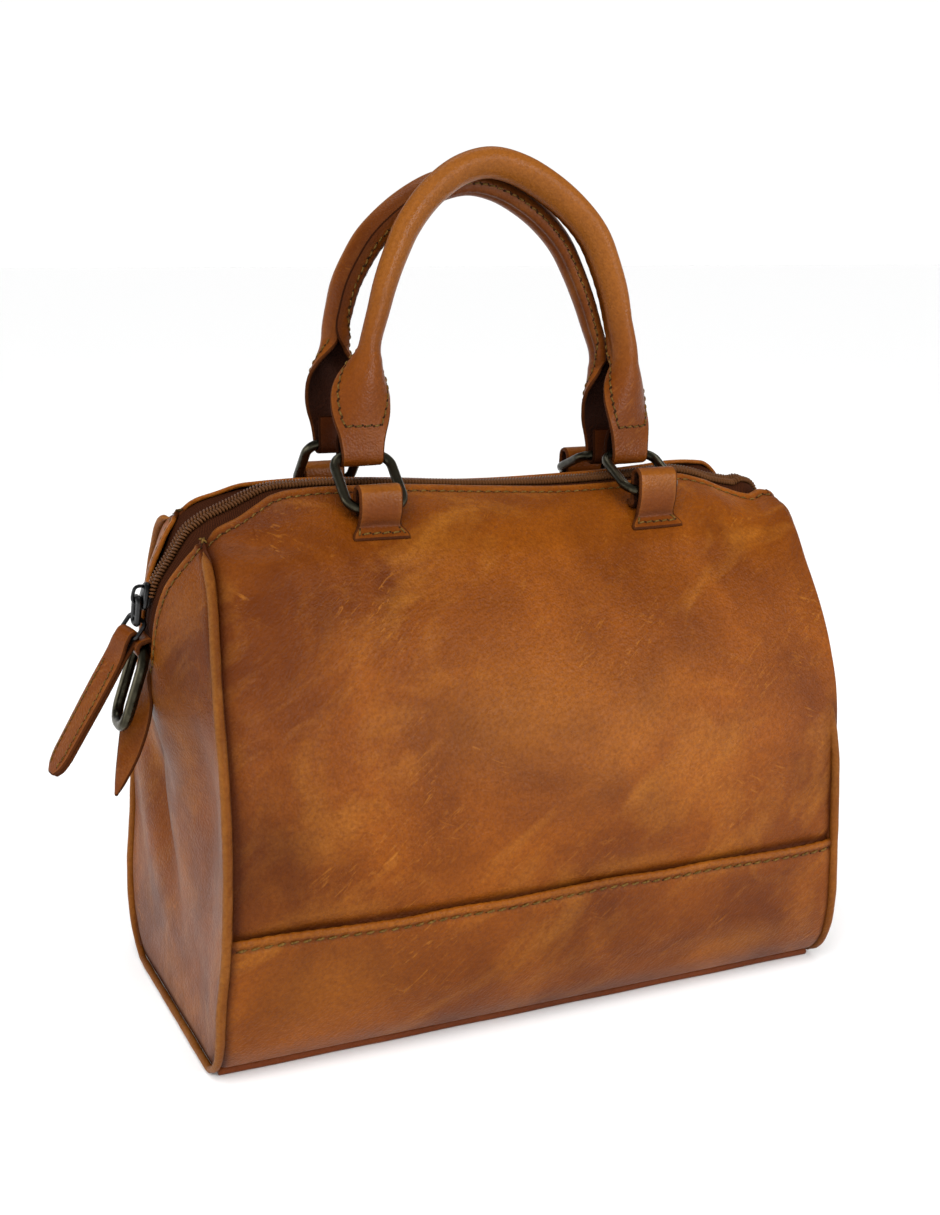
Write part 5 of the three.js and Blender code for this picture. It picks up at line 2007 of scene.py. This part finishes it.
    def _pull_leather(self, top: Array, fall: Array) -> None:
        """Builds the pull: one strap folded over the wire ring, its halves sewn together.

        Args:
            top: Where the wire ring's bar runs through it.
            fall: The direction it hangs in.
        """
        wide = np.cross(DEEP, fall)
        length, loop = 68.0, 3.4
        halves = SmoothTable((0.0, 5.0, 14.0, 40.0, 58.0, 64.0, 68.0), (4.4, 4.8, 5.6, 6.4, 6.6, 5.5, 2.6))
        gaps = SmoothTable((0.0, 3.0, 9.0, 14.0, 68.0), (loop, loop, 2.4, 2.02, 1.95))
        run = np.linspace(length, 0.0, 90)
        bend = np.linspace(0.0, np.pi, 14)[1:-1]
        flat = np.concatenate(
            [
                np.stack([-gaps(run), run, halves(run)], axis=1),
                np.stack([-loop * np.cos(bend), -loop * np.sin(bend), np.full(len(bend), 4.4)], axis=1),
                np.stack([gaps(run[::-1]), run[::-1], halves(run[::-1])], axis=1),
            ]
        )
        first, last = np.radians(self.pull_turn)
        turn = first + (last - first) * smoothstep(flat[:, 1], 8.0, length)
        across = np.outer(np.cos(turn), wide) + np.outer(np.sin(turn), DEEP)
        thick = np.outer(-np.sin(turn), wide) + np.outer(np.cos(turn), DEEP)
        path = top + thick * flat[:, :1] + np.outer(flat[:, 1], fall)
        outward = thick * np.sign(flat[:, :1]) - np.outer(flat[:, 1] < 0, fall)
        skin = Skin()
        grid = self.ribbon(skin, path, across, flat[:, 2], 1.9, outward, 15, 0.3)
        finishes = self.wardrobe.hides("strap", "edge", "shaded_flesh")
        self.finish(skin, "zip_pull_leather", finishes, Slot.STRAP, replaces=("zip_pull_tab",))
        threads = Skin()
        normal = normals_of(grid)
        small = Stitch(pitch=3.4, length=2.6, radius=0.36, hole=0.42)
        inset, middle = 2.0, (grid.shape[1] - 1) / 2
        for rows in (np.arange(4, 72), np.arange(len(grid) - 72, len(grid) - 4)):
            for sign in (-1.0, 1.0):
                at = middle * (1 + sign * (1 - inset / flat[rows, 2]))
                small.sew_on(threads, grid, normal, rows.astype(float), at)
        self.finish_stitches(threads, "zip_pull_stitches")


HANDLE_ROLL = (
    (5.0, 68.8, 4.65, 9.6, 0.04), (10.0, 68.7, 4.8, 10.7, 0.14), (15.5, 68.6, 5.2, 12.8, 0.38),
    (21.0, 68.4, 5.8, 14.8, 0.68), (27.0, 68.0, 6.3, 16.2, 0.98), (32.0, 67.5, 6.7, 16.8, 1.32),
    (37.0, 66.9, 6.6, 17.0, 1.8), (41.5, 66.2, 6.2, 17.0, 2.35), (46.0, 65.5, 5.8, 16.8, 2.85),
    (52.0, 64.5, 5.6, 17.3, 3.1), (62.0, 62.0, 5.8, 18.2, 3.14), (75.0, 58.5, 6.2, 19.5, 3.14),
    (88.0, 53.4, 6.5, 20.4, 3.14), (100.0, 47.3, 6.8, 21.4, 3.14), (111.0, 38.2, 7.0, 22.0, 3.14),
    (120.0, 27.6, 7.2, 22.6, 3.14), (127.6, 14.2, 7.2, 22.6, 3.14), (130.7, 0.0, 7.2, 22.6, 3.14),
)
TAB_FOOT = ((12.6, 0.3, 1.0), (11.9, -1.1, 1.2), (10.6, -2.4, 1.6), (9.4, -3.6, 2.3))
TWIST_SHARE = SmoothTable((-6.0, 4.0, 24.0, 42.0, 62.0), (0.15, 0.3, 1.0, 1.0, 0.0))
SWAY_RISES = (-6.0, 4.0, 80.0, 92.0, 131.0)


@dataclass
class Carry(Maker):
    """One handle with its rings and tabs."""

    side: Side = Side.FRONT
    ring_leans: tuple[float, float] = (48.0, 64.0)
    handle_lean: float = 5.0
    twists: tuple[float, float] = (0.0, 20.0)
    sway: tuple[float, float] = (4.4, -0.6)
    height: float = 1.0
    spread: float = 1.0
    neck: float = 52.0
    leg: float = 68.8
    tab_x: float = 69.0
    tab_y: float = 36.0
    swing_height: float = 240.0
    reach: float = 29.5
    arch_heart: float = 62.0
    oval: tuple[float, float] = (1.1, 0.83)
    oval_tilt: float = 40.0
    stitch_rise: float = 13.0
    paddle_seam: float = 34.0
    strap_half: float = 9.1
    tab_loop: float = 4.65
    tab_top: float = 250.5
    columns: int = 57
    stations: int = 520

    def build(self) -> None:
        """Builds the tabs, the rings and the handle."""
        for hand in End:
            self._tab(hand)
            self._ring(hand)
        self._handle()

    def _bar(self, hand: End) -> Array:
        """A ring's upper bar, inwards and up from its lower one."""
        lean = math.radians(self.ring_leans[hand is End.RIGHT])
        return self.reach * np.array([math.sin(lean), math.cos(lean)])

    def _stand(self, points: Array, rise: Array) -> Array:
        """Takes the handle from its own frame to where it stands, each leg on its own ring.

        Args:
            points: Rows of points, X along the bars, Y inwards and Z away from the bars.
            rise: How far over the bars the middle of each row is.

        Returns:
            The points in the bag's frame.
        """
        inward, lean = -self.side.value, math.radians(self.handle_lean)
        x, y, z = np.moveaxis(points, -1, 0)
        right = (inward * x > 0).astype(int)
        heart = np.where(x < 0, -self.leg, self.leg)
        turn = np.radians(self.twists)[right] * TWIST_SHARE(rise)[:, None]
        aside = x - heart
        x = heart + aside * np.cos(turn) - y * np.sin(turn)
        y = aside * np.sin(turn) + y * np.cos(turn)
        y, z = y * math.cos(lean) + z * math.sin(lean), z * math.cos(lean) - y * math.sin(lean)
        bars = np.array([self._bar(hand) for hand in End])
        near = 1.0 - smoothstep(rise, 50.0, 115.0)[:, None, None]
        shift = bars.mean(axis=0) + near * (bars[right] - bars.mean(axis=0))
        y, z = y + shift[..., 0], z + shift[..., 1]
        leg_sway, top_sway = self.sway
        sway = SmoothTable(SWAY_RISES, (0.0, 0.0, leg_sway, leg_sway, top_sway))
        x = x + inward * sway(rise)[:, None]
        y = inward * y + self.side.value * self.tab_y
        return np.stack([inward * x, y, z + self.swing_height], axis=-1)

    def _ring(self, hand: End) -> None:
        """Builds one ring.

        Args:
            hand: Left or right.
        """
        place = np.array([hand.value * self.tab_x, self.side.value * self.tab_y, self.swing_height])
        inward, up = self._bar(hand) / self.reach
        skin = Skin()
        lean = np.array([0.0, -self.side.value * inward, up])
        add_link(skin, place, WIDE, lean, Link(13.3, self.reach, 6.8, 2.25, 18))
        node = f"{self.side.label}_{hand.label}_ring"
        body = f"{self.side.label}_handle"
        self.finish(skin, f"{node}_metal", [self.wardrobe.ring], Slot.METAL, body, (node,))

    def _on_panel(self, x: float, depth: float, lift: float) -> Array:
        """A point over the panel, where its upper part stands at a half depth.

        Args:
            x: Place along the bag.
            depth: The half depth.
            lift: How far over the panel.

        Returns:
            The point.
        """
        low, high = 120.0, self.form.corner_height
        for _ in range(30):
            middle = (low + high) / 2
            at = abs(self.form.side_point(self.side, x / self.form.corner_half_width, middle)[1])
            low, high = (middle, high) if at > depth else (low, middle)
        share = x / (self.form.half_width(low) - self.form.piping_seat)
        over, under = (self.form.side_point(self.side, share, low + step) for step in (0.1, -0.1))
        up = over - under
        out = unit(np.array([0.0, self.side.value * up[2], -self.side.value * up[1]]))
        return self.form.side_point(self.side, share, low) + out * lift

    def _tab(self, hand: End) -> None:
        """Builds one tab: a foot sewn on the panel, a loop over the ring's bar and a heel.

        Args:
            hand: Left or right.
        """
        x = hand.value * self.tab_x
        outer, inner = self.tab_y + self.tab_loop, self.tab_y - self.tab_loop
        arch = self.tab_top - self.tab_loop
        share = np.linspace(-1.0, 1.0, 21)
        columns = []
        for part in share:
            def sewn(half: float, depth: float, lift: float, at: float = part) -> Array:
                """A point of the foot or heel at this share of its width."""
                return self._on_panel(x + at * half, depth, lift)

            def free(turn: float, height: float, at: float = part) -> Array:
                """A point of the upright legs or the loop.

                Args:
                    turn: Degrees round the loop.
                    height: The loop's middle.
                    at: Share of the width.

                Returns:
                    The point.
                """
                angle = math.radians(turn)
                y = self.side.value * (self.tab_y + self.tab_loop * math.cos(angle))
                return np.array([x + at * self.strap_half, y, height + self.tab_loop * math.sin(angle)])

            foot = [sewn(half, outer + reach, lift) for half, reach, lift in TAB_FOOT]
            heel = [sewn(self.strap_half, inner - 1.0, 2.75), sewn(self.strap_half, inner - 3.5, 2.6)]
            legs = [free(0.0, foot[-1][2] * 0.55 + arch * 0.45)]
            loop = [free(turn, arch) for turn in (0, 30, 60, 90, 120, 150, 180)]
            back = [free(180.0, heel[0][2] * 0.6 + arch * 0.4)]
            columns.append(smooth_path(np.array([*foot, *legs, *loop, *back, *heel]), 90))
        whole = np.stack(columns, axis=1)
        outward = self.side.value * DEEP + 0.3 * UP
        whole = whole[:, column_order(outward_sign(normals_of(whole[:45]), outward))]
        rows = arc_of(whole[:, 10])[:, None]
        edge = 0.15 * np.abs(share)[None, :] ** 10
        # Painted shade in the crease where the strap rises from its foot.
        crease = 0.5 * hump(rows - 6.5, 1.8) * np.ones_like(edge)
        rub = edge + 0.3 * hump(rows - 24.0, 6.0)
        skin = Skin()
        skin.shell(whole, self.leather, crease, np.clip(rub, 0, 1), 1, 2)
        node = f"{self.side.label}_{hand.label}_tab"
        finishes = self.wardrobe.hides("strap", "edge", "shaded_flesh")
        self.finish(skin, f"{node}_leather", finishes, Slot.STRAP, replaces=(node,))
        threads = Skin()
        columns_at = np.r_[np.full(6, 1.2), np.linspace(1.2, 18.8, 30), np.full(6, 18.8)]
        rows_at = np.r_[np.linspace(10.5, 4.2, 6), np.full(30, 4.0), np.linspace(4.2, 10.5, 6)]
        tab_stitch = Stitch(pitch=4.3, length=3.4, radius=0.45)
        tab_stitch.sew_on(threads, whole, normals_of(whole), rows_at, columns_at)
        self.finish_stitches(threads, f"{node}_stitches")

    def _strip(self) -> Array:
        """The handle's strip, from the strap's end in one paddle, round the bar, over the arch and back.

        Returns:
            Rows of place (x, y, z), half width of the leather, half angle that it is rolled through, and
            the direction that its grain side looks in (y, z).
        """
        loop, leg, broad = self.tab_loop, -self.leg, self.strap_half
        rows = [
            (leg, 3.2, 12.0, 8.4, 0.05, 1.0, 0.0),
            (leg, loop - 0.3, 7.0, broad, 0.03, 1.0, 0.0),
            (leg, loop, 2.0, broad, 0.03, 1.0, 0.0),
        ]
        for turn in np.radians([0.0, -30.0, -60.0, -90.0, -120.0, -150.0, -180.0]):
            look = (math.cos(turn), math.sin(turn))
            rows.append((leg, loop * look[0], loop * look[1], broad, 0.03, *look))
        for z, x, y, half, roll in HANDLE_ROLL:
            wide = 1 + (self.spread - 1) * min(z / self.neck, 1.0)
            rise = z if z < self.neck else self.neck + (z - self.neck) * self.height
            rows.append((-x * wide, -y, rise, half, roll, -1.0, 0.0))
        mirrored = np.array(rows[-2::-1]) * (-1, 1, 1, 1, 1, 1, 1)
        return smooth_path(np.vstack([rows, mirrored]), self.stations)

    def _handle(self) -> None:
        """Builds the handle: one strip of leather, rolled and sewn along its inside, flat at both ends."""
        rows = self._strip()
        place, half, roll = rows[:, :3], rows[:, 3:4], rows[:, 4:5]
        look = unit(np.column_stack([np.zeros(len(rows)), rows[:, 5:]]))
        across = unit(np.cross(unit(np.gradient(place, axis=0)), look))
        share = np.linspace(-1.0, 1.0, self.columns)[None, :]
        rolled = smoothstep(roll, 2.4, 3.1)
        run = arc_of(place)[:, None]
        toward = np.sum(across * (self.arch_heart * UP - place), axis=1)
        inside = np.sign(np.sum(toward * rolled[:, 0]))
        lap = smoothstep(inside * share, 0.74, 0.86) * rolled
        angle = share * roll + inside * lap * 0.34 * smoothstep(inside * share, 0.8, 1.0)
        base = half / roll
        radius = base + 2.6 * lap
        radius = radius + lap * 0.1 * np.sin(run / 0.85) * smoothstep(inside * share, 0.72, 0.8)
        sideways, deep = radius * np.sin(angle), -radius * np.cos(angle)
        tilt = math.radians(self.oval_tilt) * inside
        long = (math.sin(tilt) * sideways + math.cos(tilt) * deep) * (1 + (self.oval[0] - 1) * rolled)
        short = (math.cos(tilt) * sideways - math.sin(tilt) * deep) * (1 + (self.oval[1] - 1) * rolled)
        sideways = math.sin(tilt) * long + math.cos(tilt) * short
        sunk = math.cos(tilt) * long - math.sin(tilt) * short + base
        grid = place[:, None, :] + across[:, None, :] * sideways[..., None]
        grid = grid - look[:, None, :] * sunk[..., None]
        normal = normals_of(grid)
        if np.mean(np.sum(normal[:, self.columns // 2] * look, axis=-1)) < 0:
            grid, inside = grid[:, ::-1], -inside
        grid = self._stand(grid, place[:, 2])
        away = np.abs(share)
        # Paler along the flat ends' edges from wear, and a painted highlight along the middle of the upper
        # arch.
        rub = 0.15 * away**14 * (1 - rolled)
        rub = rub + 0.4 * smoothstep(place[:, 2:], 22.0, 92.0) * smoothstep(0.66 - away, 0.0, 0.3)
        # Painted shade on the roll's sides and lap, and over the strap's inner end in the paddles and round
        # the bars.
        crease = (0.35 * smoothstep(away, 0.55, 0.75) + 0.4 * smoothstep(away, 0.9, 1.0)) * rolled
        crease = np.maximum(crease, smoothstep(rows[:, 5:6], -0.4, 0.2))
        skin = Skin()
        skin.shell(grid, self.leather * 0.9, np.clip(crease, 0, 1), np.clip(rub, 0, 1), 1, 2)
        body = f"{self.side.label}_handle"
        finishes = self.wardrobe.hides("strap", "edge", "shaded_flesh")
        self.finish(skin, f"{body}_leather", finishes, Slot.STRAP, body, (body,))
        self._handle_stitches(body, grid, half[:, 0], place[:, 2], inside)

    def _handle_stitches(self, body: str, grid: Array, half: Array, rise: Array, inside: float) -> None:
        """Sews the handle: a line along its lap and a U on each paddle.

        Args:
            body: The handle's body.
            grid: The handle's grain side.
            half: Half width of the leather at each row.
            rise: Height of each row over the bar.
            inside: Which side of the grid laps over, by sign.
        """
        threads = Skin()
        normal = normals_of(grid)
        inset = 3.3 - 1.5 * smoothstep(rise, 44.0, 62.0)
        middle = (self.columns - 1) / 2
        tall = np.arange(len(grid), dtype=float)
        bar = int(np.argmin(rise[: len(rise) // 2]))
        leg = rise[bar : len(rise) // 2]
        first, last = np.searchsorted(leg, (self.stitch_rise, self.stitch_rise + self.paddle_seam))
        start, up = bar + int(first), int(last - first)
        stop = len(grid) - 1 - start
        sewn = Stitch(pitch=3.9, length=3.1, radius=0.42)
        for sign in (-1.0, 1.0):
            share = sign * (1 - inset / half)
            ranges = [(start, stop)] if sign == inside else [(start, start + up), (stop - up, stop)]
            for low, high in ranges:
                rows = tall[low : high + 1]
                at = middle * (1 + share[low : high + 1])
                sewn.sew_on(threads, grid, normal, rows, at)
        for row in (start, stop):
            at = middle * (1 + np.linspace(-1, 1, 20) * (1 - inset[row] / half[row]))
            rows = np.full(20, float(row))
            sewn.sew_on(threads, grid, normal, rows, at)
        self.finish_stitches(threads, f"{body}_stitches", body)


# Studio


@dataclass(frozen=True)
class Softbox:
    """A large soft light."""

    name: str
    place: tuple[float, float, float]
    aim: tuple[float, float, float]
    size: tuple[float, float]
    power: float

    def build(self) -> None:
        """Puts the light in the scene."""
        data = bpy.data.lights.new(self.name, "AREA")
        data.shape = "RECTANGLE"
        data.size, data.size_y = self.size
        data.energy = self.power
        lamp = bpy.data.objects.new(self.name, data)
        lamp.location = self.place
        lamp.rotation_mode = "QUATERNION"
        lamp.rotation_quaternion = (Vector(self.aim) - Vector(self.place)).to_track_quat("-Z", "Y")
        bpy.context.scene.collection.objects.link(lamp)


@dataclass(frozen=True)
class Studio:
    """Camera, light and a plain pale floor."""

    eye: tuple[float, float, float] = (-0.32906, -0.696, 0.3674)
    yaw: float = 24.764
    pitch: float = 13.59
    roll: float = 0.69
    lens: float = 49.18
    floor_half: float = 9.0
    ceiling: float = 0.2
    sun: float = 3.7
    sun_angle: float = 55.0
    sun_from: tuple[float, float, float] = (-0.36, -0.58, 0.73)

    def build(self) -> None:
        """Builds the whole studio."""
        self._camera()
        self._floor()
        self._light()

    def _camera(self) -> None:
        """Stands the camera where the photograph was taken from."""
        yaw, pitch, roll = (math.radians(v) for v in (self.yaw, self.pitch, self.roll))
        ahead = Vector((math.sin(yaw) * math.cos(pitch), math.cos(yaw) * math.cos(pitch), -math.sin(pitch)))
        level = Vector((math.cos(yaw), -math.sin(yaw), 0.0))
        upright = level.cross(ahead)
        right = level * math.cos(roll) + upright * math.sin(roll)
        top = upright * math.cos(roll) - level * math.sin(roll)
        data = bpy.data.cameras.new("photo_camera")
        data.lens = self.lens
        data.sensor_width = 36.0
        data.clip_start = 0.01
        camera = bpy.data.objects.new("photo_camera", data)
        axes = Matrix((right, top, -ahead)).transposed().to_4x4()
        camera.matrix_world = Matrix.Translation(self.eye) @ axes
        bpy.context.scene.collection.objects.link(camera)
        bpy.context.scene.camera = camera

    def _floor(self) -> None:
        """Lays a plain pale floor."""
        half = self.floor_half
        corners = [(-half, -half, 0), (half, -half, 0), (half, half, 0), (-half, half, 0)]
        mesh = bpy.data.meshes.new("studio_floor")
        mesh.from_pydata(corners, [], [(0, 1, 2, 3)])
        material, _, shader = start_material("pale_floor")
        shader.inputs["Base Color"].default_value = (0.94, 0.94, 0.94, 1.0)
        shader.inputs["Roughness"].default_value = 0.7
        mesh.materials.append(material)
        floor = bpy.data.objects.new("studio_floor", mesh)
        bpy.context.scene.collection.objects.link(floor)

    def _light(self) -> None:
        """Lights the room, pale round the horizon and dim overhead, with a soft sun and three softboxes."""
        scene = bpy.context.scene
        scene.view_settings.view_transform = "Standard"
        world = bpy.data.worlds.new("studio_room")
        world.use_nodes = True
        bench = Bench(world.node_tree)
        room = next(n for n in world.node_tree.nodes if n.type == "BACKGROUND")
        level = bench.node("SeparateXYZ", Vector=bench.node("TexCoord").outputs["Generated"])
        fade = bench.span(level.outputs["Z"], 0.13, 0.42)
        bench.feed(room.inputs["Color"], bench.mix(fade, (1.03, 1.03, 1.03), (self.ceiling,) * 3))
        scene.world = world
        data = bpy.data.lights.new("soft_sun", "SUN")
        data.energy, data.angle = self.sun, math.radians(self.sun_angle)
        sun = bpy.data.objects.new("soft_sun", data)
        sun.rotation_mode = "QUATERNION"
        sun.rotation_quaternion = (-Vector(self.sun_from)).to_track_quat("-Z", "Y")
        sun.visible_glossy = False
        scene.collection.objects.link(sun)
        middle = (0.0, 0.0, 0.14)
        for box in (
            Softbox("window_box", (0.72, -1.5, 0.56), middle, (0.55, 0.32), 15.0),
            Softbox("left_box", (-1.7, 0.1, 0.5), middle, (1.0, 0.8), 6.0),
            Softbox("top_box", (0.1, 0.5, 1.5), (0.0, 0.0, 0.25), (1.2, 0.5), 5.0),
        ):
            box.build()


def main() -> None:
    """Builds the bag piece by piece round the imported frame."""
    logging.basicConfig(level=logging.INFO, format="%(message)s")
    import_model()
    Studio().build()
    form, wardrobe = BagForm(), Wardrobe()
    for side in Side:
        SidePanel(form, wardrobe, side=side).build()
    for end in End:
        EndGusset(form, wardrobe, end=end).build()
    BasePanel(form, wardrobe).build()
    Zip(form, wardrobe).build()
    Carry(form, wardrobe).build()
    Carry(
        form,
        wardrobe,
        side=Side.BACK,
        ring_leans=(43.0, 69.0),
        handle_lean=-2.3,
        height=0.9,
        spread=1.018,
        twists=(0.0, 0.0),
        sway=(-4.4, -4.4),
    ).build()


if __name__ == "__main__":
    main()
